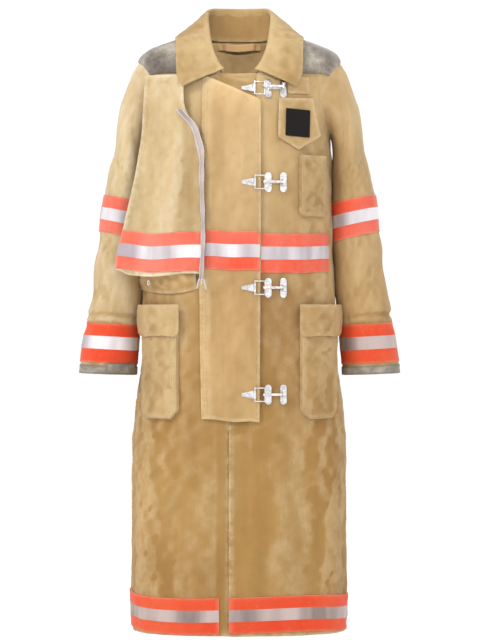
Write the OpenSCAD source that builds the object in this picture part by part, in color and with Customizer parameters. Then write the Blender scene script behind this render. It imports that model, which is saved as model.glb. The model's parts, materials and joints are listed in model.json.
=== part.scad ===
// A long firefighter's turnout coat as it hangs when worn: shell panels, collar, sleeves, trim, pockets
// and four hook-and-dee clasps. The origin is the middle of the hang loop; heights inside the modules
// are measured up from the hem. Right and left are the wearer's: right is at -X, the front faces -Y.

/* [Coat] */
// Height of the collar's fold above the hem
coat_h = 1243; // [1235:1:1250]
// Thickness of the outer shell cloth with its padding
wall = 4; // [3:0.5:4]
// Thickness of the lining
lining_t = 2; // [1.5:0.5:2]
// Gap between two layers that lie on each other
layer_gap = 1; // [0.8:0.1:1.2]

/* [Trim] */
// Height of the three-stripe reflective trim
band_h = 76; // [70:1:78]
// Height of the chest band's lower edge above the hem
chest_band_z = 712; // [705:1:716]
// Thickness of the trim
band_t = 1.2; // [1:0.1:1.5]

/* [Storm flap] */
// Place of the storm flap's free edge from the middle of the coat
flap_edge_x = 39; // [37:1:40]
// Place of the storm flap's sewn edge from the middle of the coat
flap_seam_x = -74; // [-78:1:-70]
// Height of the storm flap's lower end above the hem
flap_z = 418; // [410:1:425]

/* [Pockets] */
// How far a lower pocket stands off the coat
pocket_depth = 14; // [12:1:15]
// Height of a lower pocket's bottom above the hem
pocket_z = 422; // [415:1:430]
// Height of a lower pocket flap's top above the hem
pocket_flap_z = 652; // [645:1:656]
// Length of a lower pocket flap
pocket_flap_h = 68; // [60:1:72]

/* [Clasps] */
// Diameter of the dee ring's wire
wire_d = 2.6; // [2.4:0.1:3]
// Height of a hook plate
plate_h = 39; // [36:1:40]

/* [Sleeves] */
// Height of the cuff's end above the hem
cuff_z = 508; // [504:1:512]

/* [Hidden] */

tan_cloth = [0.78, 0.65, 0.43];
lining_cloth = [0.75, 0.60, 0.42];
collar_cloth = [0.85, 0.74, 0.50];
suede = [0.54, 0.52, 0.46];
orange_trim = [1.0, 0.38, 0.2];
nickel = [0.85, 0.85, 0.88];

// Place of the hang loop above the hem and behind the coat's middle plane
loop_z = 1171;
loop_y = 52;

// Half widths and half depths of the coat at heights above the hem
width_rows = [[0, 214], [90, 219], [390, 213], [460, 205], [500, 199], [560, 192], [600, 193], [650, 193],
              [720, 187], [800, 183], [980, 181], [1060, 188], [1120, 199], [1136, 200], [1146, 193], [1156, 178],
              [1166, 152], [1176, 122], [1186, 98]];
front_rows = [[0, 142], [600, 135], [900, 130], [1000, 120], [1060, 107], [1120, 88], [1156, 74], [1186, 62]];
back_rows = [[0, 150], [600, 140], [900, 134], [1000, 126], [1060, 114], [1120, 94], [1156, 78], [1186, 64]];
// Height of the neckline against the angle round the coat
neck_rows = [[0, 1101.5], [12, 1102], [16, 1113], [27, 1150], [49, 1180], [90, 1185], [180, 1182]];
// Roundness of the plan outline: 2 is an ellipse, more is squarer
plan_power = 2.5;

// The armhole is an oval in the coat's side
arm_mid_z = 1058;
arm_half_h = 76;
arm_half_d = 66;

function spow(v, p) = sign(v) * pow(abs(v), p);
function mix(a, b, t) = a + (b - a) * t;
function unit(v) = v / norm(v);

// A point of the outer shell at angle u round the coat (0 front, 90 left side) and height z
function skin(u, z) =
    let (a = lookup(z, width_rows), b = cos(u) > 0 ? lookup(z, front_rows) : lookup(z, back_rows))
    [a * spow(sin(u), 2 / plan_power), -b * spow(cos(u), 2 / plan_power), z];

// The shell's outward direction at the same place
function skin_out(u, z) =
    unit(cross(skin(u + 1.5, z) - skin(u - 1.5, z), skin(u, z + 3) - skin(u, z - 3)));

function off_skin(u, z, off) = skin(u, z) + skin_out(u, z) * off;

// The angle at which the shell at height z is x away from the middle, on the front
function angle_at(x, z) = asin(spow(x / lookup(z, width_rows), plan_power / 2));

// Half the armhole's depth at height z
function arm_gap(z) = arm_half_d * sqrt(max(0, 1 - pow((z - arm_mid_z) / arm_half_h, 2)));
function front_end(z) = min(89.9, acos(pow(arm_gap(z) / lookup(z, front_rows), plan_power / 2)));
function back_end(z) = max(90.1, 180 - acos(pow(arm_gap(z) / lookup(z, back_rows), plan_power / 2)));

// Turns a grid of outer points and a grid of inner points into one closed sheet
module sheet(outer, inner) {
    rows = len(outer);
    cols = len(outer[0]);
    half = rows * cols;
    pts = [for (g = [outer, inner]) for (row = g) each row];
    function at(side, r, c) = side * half + r * cols + c;
    polyhedron(pts, [
        for (r = [0 : rows - 2]) for (c = [0 : cols - 2]) each [
            [at(0, r, c), at(0, r + 1, c), at(0, r + 1, c + 1)],
            [at(0, r, c), at(0, r + 1, c + 1), at(0, r, c + 1)],
            [at(1, r, c), at(1, r + 1, c + 1), at(1, r + 1, c)],
            [at(1, r, c), at(1, r, c + 1), at(1, r + 1, c + 1)]],
        for (r = [0 : rows - 2]) each [
            [at(0, r, 0), at(1, r, 0), at(1, r + 1, 0)],
            [at(0, r, 0), at(1, r + 1, 0), at(0, r + 1, 0)],
            [at(0, r, cols - 1), at(1, r + 1, cols - 1), at(1, r, cols - 1)],
            [at(0, r, cols - 1), at(0, r + 1, cols - 1), at(1, r + 1, cols - 1)]],
        for (c = [0 : cols - 2]) each [
            [at(0, 0, c), at(1, 0, c + 1), at(1, 0, c)],
            [at(0, 0, c), at(0, 0, c + 1), at(1, 0, c + 1)],
            [at(0, rows - 1, c), at(1, rows - 1, c), at(1, rows - 1, c + 1)],
            [at(0, rows - 1, c), at(1, rows - 1, c + 1), at(0, rows - 1, c + 1)]]
    ], convexity = 8);
}

// A closed ring-shaped sheet: the columns run all the way round
module tube(outer, inner) {
    rows = len(outer);
    cols = len(outer[0]);
    half = rows * cols;
    pts = [for (g = [outer, inner]) for (row = g) each row];
    function at(side, r, c) = side * half + r * cols + c % cols;
    polyhedron(pts, [
        for (r = [0 : rows - 2]) for (c = [0 : cols - 1]) each [
            [at(0, r, c), at(0, r + 1, c), at(0, r + 1, c + 1)],
            [at(0, r, c), at(0, r + 1, c + 1), at(0, r, c + 1)],
            [at(1, r, c), at(1, r + 1, c + 1), at(1, r + 1, c)],
            [at(1, r, c), at(1, r, c + 1), at(1, r + 1, c + 1)]],
        for (c = [0 : cols - 1]) each [
            [at(0, 0, c), at(1, 0, c + 1), at(1, 0, c)],
            [at(0, 0, c), at(0, 0, c + 1), at(1, 0, c + 1)],
            [at(0, rows - 1, c), at(1, rows - 1, c), at(1, rows - 1, c + 1)],
            [at(0, rows - 1, c), at(1, rows - 1, c + 1), at(0, rows - 1, c + 1)]]
    ], convexity = 8);
}

// Puts a module's hem-based heights at the hang loop's origin
module place() translate([0, -loop_y, -loop_z]) children();

// Mirrors a left-side piece to the right side
module on_side(side) mirror([side < 0 ? 1 : 0, 0, 0]) children();

// ---------------------------------------------------------------- shell panels

low_rows = [0, 90, 240, 390, 500, 560, 600, 650, 720, 800, 900, 976];
arm_rows = [983, 988, 996, 1008, 1025, 1045, 1060, 1080, 1100];
// Steps from the last arm row up to the neckline
top_steps = [0.12, 0.25, 0.37, 0.47, 0.56, 0.66, 0.76, 0.88, 1];

// Height of grid row r in a column whose neckline height is top
function row_z(r, top) =
    let (fixed = concat(low_rows, arm_rows))
    r < len(fixed) ? fixed[r] : mix(1100, top, top_steps[r - len(fixed)]);
row_count = len(low_rows) + len(arm_rows) + len(top_steps);

// The grid of one front panel from its centre edge at edge_x to the side, for side 1 (left) or -1
function front_grid(side, edge_x, off, cols = 14) = [
    for (r = [0 : row_count - 1]) [
        for (c = [0 : cols])
            let (f = c / cols, top_u = mix(angle_at(side * edge_x, 1125), 90, f),
                 z = row_z(r, lookup(abs(top_u), neck_rows)),
                 u = mix(angle_at(side * edge_x, min(z, 1125)), front_end(z), f))
            off_skin(side * u, z, off)]];

function back_grid(off, cols = 28) = [
    for (r = [0 : row_count - 1]) [
        for (c = [0 : cols])
            let (f = c / cols, z = row_z(r, lookup(90 + 180 * abs(f - 0.5), neck_rows)),
                 side_u = back_end(z))
            off_skin(mix(side_u, 360 - side_u, f), z, off)]];

module back_panel() color(tan_cloth) place() sheet(back_grid(0), back_grid(-wall));
module front_right() color(tan_cloth) place()
    on_side(-1) sheet(front_grid(1, 22, 0), front_grid(1, 22, -wall));
module front_left() color(tan_cloth) place() sheet(front_grid(1, -19, 0), front_grid(1, -19, -wall));

// A patch that follows the front of the coat between two x places and over the given heights
function front_patch(x0, x1, heights, off, cols = 10) = [
    for (z = heights) [for (c = [0 : cols]) off_skin(angle_at(mix(x0, x1, c / cols), z), z, off)]];

module front_layer(x0, x1, heights, low, high, cols = 10)
    sheet(front_patch(x0, x1, heights, high, cols), front_patch(x0, x1, heights, low, cols));

// The facing sewn behind the front opening
module underlap() color(tan_cloth) place()
    front_layer(-58, 50, [4, 90, 240, 390, 500, 600, 720, 800, 900, 980, 1060, 1098],
        -wall - layer_gap - 2, -wall - layer_gap, 6);

// The lining hangs inside the shell, with the armholes left open
lining_top = wall + 2 * layer_gap + 2;
lining_steps = [20, 90, 240, 390, 500, 600, 720, 800, 900, 970];
function lining_grid(off) = [for (z = lining_steps) [for (c = [0 : 47]) off_skin(c * 7.5, z, off)]];
module body_lining() color(lining_cloth) place()
    tube(lining_grid(-lining_top), lining_grid(-lining_top - lining_t));

// ---------------------------------------------------------------- storm flap and throat

flap_off = 4;
flap_t = 4;
// The flap's top edge slopes down from its sewn edge to its free edge
function flap_top(f) = mix(1098, 1048, f);
function flap_grid(off) = [
    for (r = [0 : 16]) [
        for (c = [0 : 10])
            let (f = c / 10, z = mix(flap_z, flap_top(f), r / 16), x = mix(flap_seam_x, flap_edge_x, f))
            off_skin(angle_at(x, z), z, off)]];
module storm_flap() color(tan_cloth) place() sheet(flap_grid(flap_off + flap_t), flap_grid(flap_off));
module throat_piece() color(collar_cloth) place()
    front_layer(-46, 32, [1035, 1060, 1080, 1102], layer_gap, layer_gap + 1.8, 6);

// ---------------------------------------------------------------- collar

// The fold line and the fall's outer edge, each from the middle of the back to the front end
fold_line = [[0, 52, coat_h], [30, 48, coat_h], [54, 34, coat_h - 3], [63, 8, 1225], [62, -26, 1192],
             [56, -72, 1154], [44, -95, 1124], [33, -103, 1109]];
fall_edge = [[0, 84, 1168], [50, 80, 1168], [100, 58, 1172], [121, 20, 1181], [126, -26, 1176],
             [125, -62, 1158], [122, -100, 1100], [111, -109, 1075]];
neck_seam = [[0, 54, 1182], [34, 50, 1182], [62, 36, 1184], [76, 8, 1186], [72, -24, 1174],
             [60, -56, 1146], [44, -76, 1122], [33, -86, 1108]];
collar_t = 3.5;

function mirrored(line) = concat(
    [for (i = [len(line) - 1 : -1 : 1]) [-line[i].x, line[i].y, line[i].z]], line);
function spline_at(line, i, t) =
    let (n = len(line) - 1, a = line[max(i - 1, 0)], b = line[i], c = line[min(i + 1, n)],
         d = line[min(i + 2, n)])
    0.5 * (2 * b + (c - a) * t + (2 * a - 5 * b + 4 * c - d) * t * t + (3 * b - a - 3 * c + d) * t * t * t);
function smooth_line(line) = [
    for (i = [0 : len(line) - 2]) for (t = [0, 0.5]) spline_at(line, i, t), line[len(line) - 1]];

fold = smooth_line(mirrored(fold_line));
edge = smooth_line(mirrored(fall_edge));
seam = smooth_line(mirrored(neck_seam));

// Outward direction of the collar at column c, halfway between two of its lines
function collar_out(c, low, high) =
    let (n = len(low) - 1, along = low[min(c + 1, n)] - low[max(c - 1, 0)])
    unit(cross(along, high[c] - low[c]));
// Rows from a low line up to a high line, bulging outwards by bulge between them
function collar_grid(low, high, bulge, off) = [
    for (r = [0 : 4]) [
        for (c = [0 : len(low) - 1])
            mix(low[c], high[c], r / 4) - collar_out(c, low, high) * (off + bulge * sin(45 * r))]];

module collar_fall() color(collar_cloth) place()
    sheet(collar_grid(edge, fold, 3, 6 + collar_t), collar_grid(edge, fold, 3, 6));
module collar_stand() color(collar_cloth) place()
    sheet(collar_grid(seam, fold, 0, 4), collar_grid(seam, fold, 0, 1.5));

// The hang loop is a flat strap held at both ends on the back lining of the neck
loop_half = 42;
loop_rise = 15;
module hang_loop() color(lining_cloth) linear_extrude(height = loop_rise, center = true) polygon([
    [-loop_half, 6], [-loop_half, 3], [-loop_half + 8, 3], [-loop_half + 16, -4],
    [loop_half - 16, -4], [loop_half - 8, 3], [loop_half, 3], [loop_half, 6],
    [loop_half - 9, 6], [loop_half - 17, -1.5], [-loop_half + 17, -1.5], [-loop_half + 9, 6]]);

// ---------------------------------------------------------------- shoulder yokes

// A yoke wraps over the shoulder from the front to the back above the armhole
yoke_low = 1108;
function arm_top_at(u) =
    let (b = u < 90 ? lookup(1120, front_rows) : lookup(1120, back_rows),
         y = min(arm_half_d - 0.5, b * pow(abs(cos(u)), 2 / plan_power)))
    arm_mid_z + arm_half_h * sqrt(1 - pow(y / arm_half_d, 2)) + 3;
function yoke_grid(off) = [
    for (r = [0 : 6]) [
        for (c = [0 : 20])
            let (u = mix(32, 148, c / 20), low = max(yoke_low, min(arm_top_at(u), 1138)),
                 z = mix(low, min(1174, lookup(u, neck_rows) - 4), r / 6))
            off_skin(u, z, off)]];
module yoke() sheet(yoke_grid(layer_gap + 2), yoke_grid(layer_gap));
module yoke_right() color(suede) place() on_side(-1) yoke();
module yoke_left() color(suede) place() yoke();

// ---------------------------------------------------------------- cape, pouch and edge tape

cape_rows = [706, 750, 788, 830, 880, 930, 980, 1020, 1060, 1100];
cape_front_x = [[706, -73], [820, -69], [941, -72], [992, -86], [1034, -110], [1100, -112]];
cape_side_x = [[706, -242], [735, -245], [800, -229], [900, -206], [980, -193], [1100, -186]];
cape_side_y = [[706, -96], [900, -88], [980, -86], [1060, -88], [1080, -83], [1100, -75]];
cape_front_y = [[706, -146], [900, -139], [1000, -124], [1060, -112], [1100, -103]];
cape_t = 2.5;
// A point of the cape at height z, a share f of the way from its front edge to its side edge
function cape_at(z, f, off) =
    let (x = mix(lookup(z, cape_front_x), lookup(z, cape_side_x), f),
         y = mix(lookup(z, cape_front_y), lookup(z, cape_side_y), pow(f, 1.5)))
    [x, y - off, z];
function cape_grid(heights, off, cols = 12, from = 0) = [
    for (z = heights) [for (c = [0 : cols]) cape_at(z, mix(1, from, c / cols), off)]];
module cape_panel() color(tan_cloth) place()
    sheet(cape_grid(cape_rows, cape_t), cape_grid(cape_rows, 0));

// The pouch hangs out from under the cape: a soft bag, open at the top
pouch_x = [-200, -84];
pouch_rows = [672, 682, 700, 722, 760];
function pouch_grid(gap) = [
    for (r = [0 : 4]) [
        for (c = [0 : 10])
            let (z = pouch_rows[r] + gap * (4 - r) / 4, f = c / 10,
                 swell = 1 + (16 - gap) * pow(sin(mix(8, 172, f)), 0.5) * sin(mix(15, 95, r / 4)))
            off_skin(-angle_at(mix(-pouch_x[0] - 22 - gap, -pouch_x[1] + gap, f), z), z, swell)]];
module pouch() color(tan_cloth) place()
    sheet(pouch_grid(0), pouch_grid(3));

// The eyelet drains the pouch
module pouch_eyelet() color(nickel) place()
    translate(off_skin(-angle_at(164, 689), 689, 19.5)) rotate([90, 0, -54])
        rotate_extrude($fn = 32) translate([2, 0]) square([3, 1]);

// Tape with a raised rim on each side, sewn down the cape's front edge
tape_w = 9;
tape_t = 1.6;
tape_rows = [694, 720, 760, 800, 850, 900, 941, 965, 992, 1012, 1030];
module edge_tape() color(nickel) place()
    sheet([for (z = tape_rows) [for (s = [-0.5, 0, 0.5]) tape_at(z, s, tape_t)]],
          [for (z = tape_rows) [for (s = [-0.5, 0, 0.5]) tape_at(z, s, 0)]]);
function tape_at(z, s, off) =
    cape_at(z, 0, cape_t + band_t + 2 * layer_gap + off) + [tape_w * s - 2, 0, 0];

// ---------------------------------------------------------------- reflective trim

chest_rows = [chest_band_z, chest_band_z + band_h / 2, chest_band_z + band_h];
module chest_band_cape() color(orange_trim) place()
    sheet(cape_grid(chest_rows, cape_t + layer_gap / 2 + band_t, 12, 0.02),
          cape_grid(chest_rows, cape_t + layer_gap / 2, 12, 0.02));
module chest_band_flap() color(orange_trim) place()
    front_layer(flap_seam_x + 1, flap_edge_x - 1, chest_rows,
        flap_off + flap_t + layer_gap / 2, flap_off + flap_t + layer_gap / 2 + band_t);
module chest_band_left() color(orange_trim) place()
    front_layer(flap_edge_x + 2, 174, chest_rows, layer_gap, layer_gap + band_t, 12);

// A band round the coat between two angles
function round_grid(u0, u1, heights, off, cols) = [
    for (z = heights) [for (c = [0 : cols]) off_skin(mix(u0, u1, c / cols), z, off)]];
module round_band(u0, u1, heights, cols)
    sheet(round_grid(u0, u1, heights, layer_gap + band_t, cols), round_grid(u0, u1, heights, layer_gap, cols));
module chest_band_back() color(orange_trim) place() round_band(92, 268, chest_rows, 26);

hem_gap = 4;
hem_rows = [hem_gap, hem_gap + band_h / 2, hem_gap + band_h - 6];
module hem_band_right() color(orange_trim) place() round_band(-89, -6, hem_rows, 14);
module hem_band_left() color(orange_trim) place() round_band(-4, 89, hem_rows, 14);
module hem_band_back() color(orange_trim) place() round_band(91, 269, hem_rows, 26);

// ---------------------------------------------------------------- pockets and flaps

// The lower pockets sit on the front of each hip, between these two places across the coat
pocket_in_x = 118;
pocket_out_x = 185;
pocket_wall = 2;
pocket_rows = [pocket_z, 440, 470, 500, 560, 625];
// Grid of an open-topped pocket: its sides and bottom drop to the coat, with a small flare at the rim
rim_flare = 1;
function dish_grid(x0, x1, heights, depth, inset, cols) = [
    for (r = [-1 : len(heights) - 1]) [
        for (c = [-1 : cols + 1])
            let (z = heights[max(r, 0)] + (r <= 0 ? inset : 0) - (r < 0 ? rim_flare : 0),
                 x = mix(x0 + inset, x1 - inset, min(max(c / cols, 0), 1))
                     + (c < 0 ? -rim_flare : c > cols ? rim_flare : 0),
                 off = r < 0 || c < 0 || c > cols ? layer_gap : depth - inset)
            off_skin(angle_at(x, z), z, off)]];
module dish(x0, x1, heights, depth, cols)
    sheet(dish_grid(x0, x1, heights, depth, 0, cols), dish_grid(x0, x1, heights, depth, pocket_wall, cols));
module pocket() dish(pocket_in_x, pocket_out_x, pocket_rows, pocket_depth, 8);
module pocket_right() color(tan_cloth) place() on_side(-1) pocket();
module pocket_left() color(tan_cloth) place() pocket();

flap_low = pocket_depth + 2 * layer_gap;
module pocket_cover()
    front_layer(pocket_in_x - 4, pocket_out_x + 1,
        [pocket_flap_z - pocket_flap_h, pocket_flap_z - pocket_flap_h / 2, pocket_flap_z - 3],
        flap_low, flap_low + 3, 8);
module pocket_flap_right() color(tan_cloth) place() on_side(-1) pocket_cover();
module pocket_flap_left() color(tan_cloth) place() pocket_cover();

radio_rows = [819, 860, 900, 940];
radio_depth = 12;
module radio_pocket() color(tan_cloth) place() dish(116, 166, radio_rows, radio_depth, 6);

// ---------------------------------------------------------------- microphone tab

tab_top = 1060;
module tab_strap() color(tan_cloth) place()
    front_layer(96, 136, [tab_top + 4, 1080, 1096], layer_gap, layer_gap + 3, 4);
// The tab folds about the stitching at its top, turned to face along the chest
tab_turn = [-6.5, 0, 20];
tab_pivot = [116, -96, tab_top];
tab_t = 3;
module tab_frame() place() translate(tab_pivot) rotate(tab_turn) children();
module mic_tab() color(tan_cloth) tab_frame() rotate([90, 0, 0]) linear_extrude(height = tab_t)
    polygon([[-46, -80], [-40, -7], [30, -7], [42, -82], [-5, -108]]);
patch_w = 50;
patch_h = 54;
patch_t = 1.2;
patch_x = -5;
module hook_patch() color("black") tab_frame() translate([patch_x, -tab_t - patch_t / 2, -56])
    rotate([0, 4, 0]) cube([patch_w, patch_t, patch_h], center = true);

// ---------------------------------------------------------------- sleeves

// Outer and inner line of a left sleeve from the armhole to the cuff, each in x and z, and half depth
sleeve_rows = [
    [[203, 1131], [186, 986], 66], [[222, 1101], [187, 970], 68], [[238, 1040], [188, 945], 68],
    [[252, 960], [189, 915], 66], [[262, 910], [190, 882], 63], [[271, 867], [190, 851], 61],
    [[281, 795], [191, 775], 58], [[289, 730], [194, 715], 56], [[301, 640], [199, 632], 54],
    [[306, 612], [200, 606], 54], [[313, 575], [203, 569], 53], [[318, 535], [206, 529], 52],
    [[321, cuff_z + 4], [207, cuff_z], 52]];
sleeve_y = -4;
sleeve_wall = 3;
// A point of the sleeve at row r (fractions allowed) and angle t round it
function sleeve_row(r) =
    let (i = min(floor(r), len(sleeve_rows) - 2), f = r - i, a = sleeve_rows[i], b = sleeve_rows[i + 1])
    [mix(a[0], b[0], f), mix(a[1], b[1], f), mix(a[2], b[2], f)];
function sleeve_at(r, t, off) =
    let (row = sleeve_row(r), mid = (row[0] + row[1]) / 2, half = norm(row[0] - row[1]) / 2,
         dir = unit(row[0] - row[1]))
    [mid.x + dir.x * (half + off) * cos(t), sleeve_y - (row[2] + off) * sin(t),
     mid.y + dir.y * (half + off) * cos(t)];
function sleeve_grid(steps, off) = [
    for (r = steps) [for (c = [0 : 23]) sleeve_at(r, c * 15, off)]];
module sleeve_tube(steps, low, high)
    tube(sleeve_grid(steps, high), sleeve_grid(steps, low));
sleeve_end = len(sleeve_rows) - 1;
sleeve_steps = [sleeve_end, for (r = [sleeve_end - 1 : -1 : 0]) r];

module sleeve_right() color(tan_cloth) place() on_side(-1) sleeve_tube(sleeve_steps, -sleeve_wall, 0);
module sleeve_left() color(tan_cloth) place() sleeve_tube(sleeve_steps, -sleeve_wall, 0);
lining_out = -sleeve_wall - layer_gap;
lining_rows = [for (r = [sleeve_end - 1 : -1 : 1]) r];
module sleeve_lining_right() color(lining_cloth) place() on_side(-1)
    sleeve_tube(lining_rows, lining_out - lining_t, lining_out);
module sleeve_lining_left() color(lining_cloth) place()
    sleeve_tube(lining_rows, lining_out - lining_t, lining_out);

// Trim and cuff edges, by their rows on the sleeve
upper_band_steps = [6, 5.5, 5];
cuff_band_steps = [11, 10, 9];
binding_steps = [sleeve_end, sleeve_end - 0.7];
module sleeve_band(steps) sleeve_tube(steps, layer_gap, layer_gap + band_t);
module upper_band_right() color(orange_trim) place() on_side(-1) sleeve_band(upper_band_steps);
module upper_band_left() color(orange_trim) place() sleeve_band(upper_band_steps);
module cuff_band_right() color(orange_trim) place() on_side(-1) sleeve_band(cuff_band_steps);
module cuff_band_left() color(orange_trim) place() sleeve_band(cuff_band_steps);
module cuff_binding_right() color(suede) place() on_side(-1) sleeve_band(binding_steps);
module cuff_binding_left() color(suede) place() sleeve_band(binding_steps);

// The take-up tab lies over the right cuff's inner front corner
tab_rows = [sleeve_end - 0.1, sleeve_end - 0.6, sleeve_end - 0.95];
module cuff_tab() color(suede) place() on_side(-1)
    sheet([for (r = tab_rows) [for (t = [90 : 10 : 150]) sleeve_at(r, t, 5.5)]],
          [for (r = tab_rows) [for (t = [90 : 10 : 150]) sleeve_at(r, t, 3.2)]]);

// ---------------------------------------------------------------- clasps

// Heights of the four clasps above the hem
clasp_z = [471, 680, 887, 1073];

// Each half of a clasp has its own frame: x to the left, y into the coat, on the cloth at that place
function cloth_y(x, z) = skin(angle_at(x, z), z).y;
function cloth_turn(x, z) = atan((cloth_y(x + 14, z) - cloth_y(x - 14, z)) / 28);
function cloth_lean(x, z) = atan((cloth_y(x, z + 14) - cloth_y(x, z - 14)) / 28);
module on_cloth(x, z, off) place() translate([x, cloth_y(x, z) - off, z])
    rotate([-cloth_lean(x, z), 0, cloth_turn(x, z)]) children();

dee_x = 16;
dee_off = flap_off + flap_t + 0.6;
dee_t = 1.6;
// The ring's near bar turns in the plate's eye, and the ring leans towards the coat
ring_at = [14, -2.6, 0];
ring_lean = 5;
ring_w = 20;
ring_h = 26;
// The ring's cross bars are drawn down a little where they were bent
cross_less = 0.2;
hook_x = 71;
hook_off = 1;
plate_w = 12.5;
plate_t = 2;
plate_x = 15;
bar_d = 5.5;
bar_off = 14;
boss_d = 6;
boss_l = 7.4;
pin_d = 2.4;
ear_t = 2.4;
running = 0.2;

// Tapered plate with a riveted boss at one end and a rolled eye round the ring's bar at the other
module dee_plate(z) color(nickel) on_cloth(dee_x, z, dee_off) {
    rotate([90, 0, 0]) linear_extrude(height = dee_t)
        polygon([[-12, -3], [-12, 3], [-4, 4.5], [9.5, 7.5], [9.5, -7.5], [-4, -4.5]]);
    translate([-9, -dee_t, 0]) rotate([90, 0, 0]) cylinder(d = boss_d, h = 2, $fn = 32);
    difference() {
        union() {
            translate(ring_at) cylinder(d = wire_d + 2.4, h = 15, center = true, $fn = 32);
            translate([9, -dee_t, -7.5]) cube([4, dee_t, 15]);
        }
        translate(ring_at) cylinder(d = wire_d + running, h = 20, center = true, $fn = 32);
    }
}
// Round wire bent to a rectangle
module dee_ring(z) color(nickel) on_cloth(dee_x, z, dee_off) translate(ring_at) rotate([0, 0, ring_lean]) {
    for (x = [0, ring_w]) translate([x, 0, 0])
        cylinder(d = wire_d, h = ring_h + wire_d, center = true, $fn = 24);
    for (s = [-1, 1]) translate([0, 0, s * ring_h / 2]) rotate([0, 90, 0])
        cylinder(d = wire_d - cross_less, h = ring_w, $fn = 24);
}
// Two upright plates with rounded ends joined by a bridge, a rest post and two ears for the lever's pin
module hook_base(z) color(nickel) on_cloth(hook_x, z, hook_off) {
    for (x = [-plate_x, plate_x]) translate([x, 0, 0]) rotate([90, 0, 0]) difference() {
        linear_extrude(height = plate_t) {
            for (s = [-1, 1]) translate([0, s * (plate_h - plate_w) / 2]) circle(d = plate_w, $fn = 40);
            square([plate_w, plate_h - plate_w], center = true);
        }
        for (s = [-1, 1]) translate([0, s * (plate_h - plate_w) / 2, -1])
            cylinder(d = 3.4, h = plate_t + 2, $fn = 24);
    }
    translate([-plate_x, -plate_t, -2.5]) cube([2 * plate_x, plate_t, 5]);
    translate([-plate_x, -plate_t / 2, 0]) rotate([90, 0, 0])
        cylinder(d = boss_d, h = bar_off - bar_d / 2 - running - plate_t / 2, $fn = 32);
    for (s = [-1, 1]) translate([plate_x, 0, s * (boss_l / 2 + running + ear_t / 2)]) difference() {
        translate([-3.5, -bar_off - 2.8, -ear_t / 2]) cube([7, bar_off + 2.8 - plate_t / 2, ear_t]);
        translate([0, -bar_off, 0]) cylinder(d = pin_d + running, h = 6, center = true, $fn = 24);
    }
}
// The lever turns on a pin at its left end; its nose reaches over the ring's far bar and down inside it
nose_x = -26;
nose_t = 3;
module hook_lever(z) color(nickel) on_cloth(hook_x, z, hook_off) translate([0, -bar_off, 0]) {
    translate([plate_x, 0, 0]) {
        cylinder(d = boss_d, h = boss_l, center = true, $fn = 32);
        cylinder(d = pin_d, h = boss_l + 2 * ear_t + 1.4, center = true, $fn = 24);
    }
    translate([nose_x, 0, 0]) {
        rotate([0, 90, 0]) cylinder(d = bar_d, h = plate_x - nose_x, $fn = 32);
        translate([-nose_t / 2, -bar_d / 2, -2.2]) cube([nose_t, bar_d + 5, 4.4]);
    }
}
// Rivets clench each hook plate to the coat
module clasp_rivets() color(nickel)
    for (z = clasp_z) on_cloth(hook_x, z, hook_off)
        for (x = [-plate_x, plate_x]) for (s = [-1, 1])
            translate([x, -plate_t, s * (plate_h - plate_w) / 2]) {
                rotate([90, 0, 0]) cylinder(d = 5.2, h = 1.2, $fn = 24);
                rotate([-90, 0, 0]) cylinder(d = 3.2, h = plate_t + 0.4, $fn = 24);
            }

// ---------------------------------------------------------------- drawing

back_panel();
front_right();
front_left();
underlap();
body_lining();
storm_flap();
throat_piece();
collar_stand();
collar_fall();
yoke_right();
yoke_left();
hang_loop();
cape_panel();
pouch();
pouch_eyelet();
edge_tape();
chest_band_cape();
chest_band_flap();
chest_band_left();
chest_band_back();
hem_band_right();
hem_band_left();
hem_band_back();
pocket_right();
pocket_flap_right();
pocket_left();
pocket_flap_left();
radio_pocket();
tab_strap();
mic_tab();
hook_patch();
sleeve_right();
sleeve_left();
sleeve_lining_right();
sleeve_lining_left();
upper_band_right();
upper_band_left();
cuff_band_right();
cuff_band_left();
cuff_binding_right();
cuff_binding_left();
cuff_tab();
clasp_rivets();
dee_plate(clasp_z[0]);  // dee_plate_1
dee_plate(clasp_z[1]);  // dee_plate_2
dee_plate(clasp_z[2]);  // dee_plate_3
dee_plate(clasp_z[3]);  // dee_plate_4
dee_ring(clasp_z[0]);  // dee_ring_1
dee_ring(clasp_z[1]);  // dee_ring_2
dee_ring(clasp_z[2]);  // dee_ring_3
dee_ring(clasp_z[3]);  // dee_ring_4
hook_base(clasp_z[0]);  // hook_base_1
hook_base(clasp_z[1]);  // hook_base_2
hook_base(clasp_z[2]);  // hook_base_3
hook_base(clasp_z[3]);  // hook_base_4
hook_lever(clasp_z[0]);  // hook_lever_1
hook_lever(clasp_z[1]);  // hook_lever_2
hook_lever(clasp_z[2]);  // hook_lever_3
hook_lever(clasp_z[3]);  // hook_lever_4
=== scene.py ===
"""The turnout coat's looks: cloth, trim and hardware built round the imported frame, in metres."""
import json
import math

import bpy
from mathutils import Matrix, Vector, noise
from mathutils.kdtree import KDTree

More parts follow.
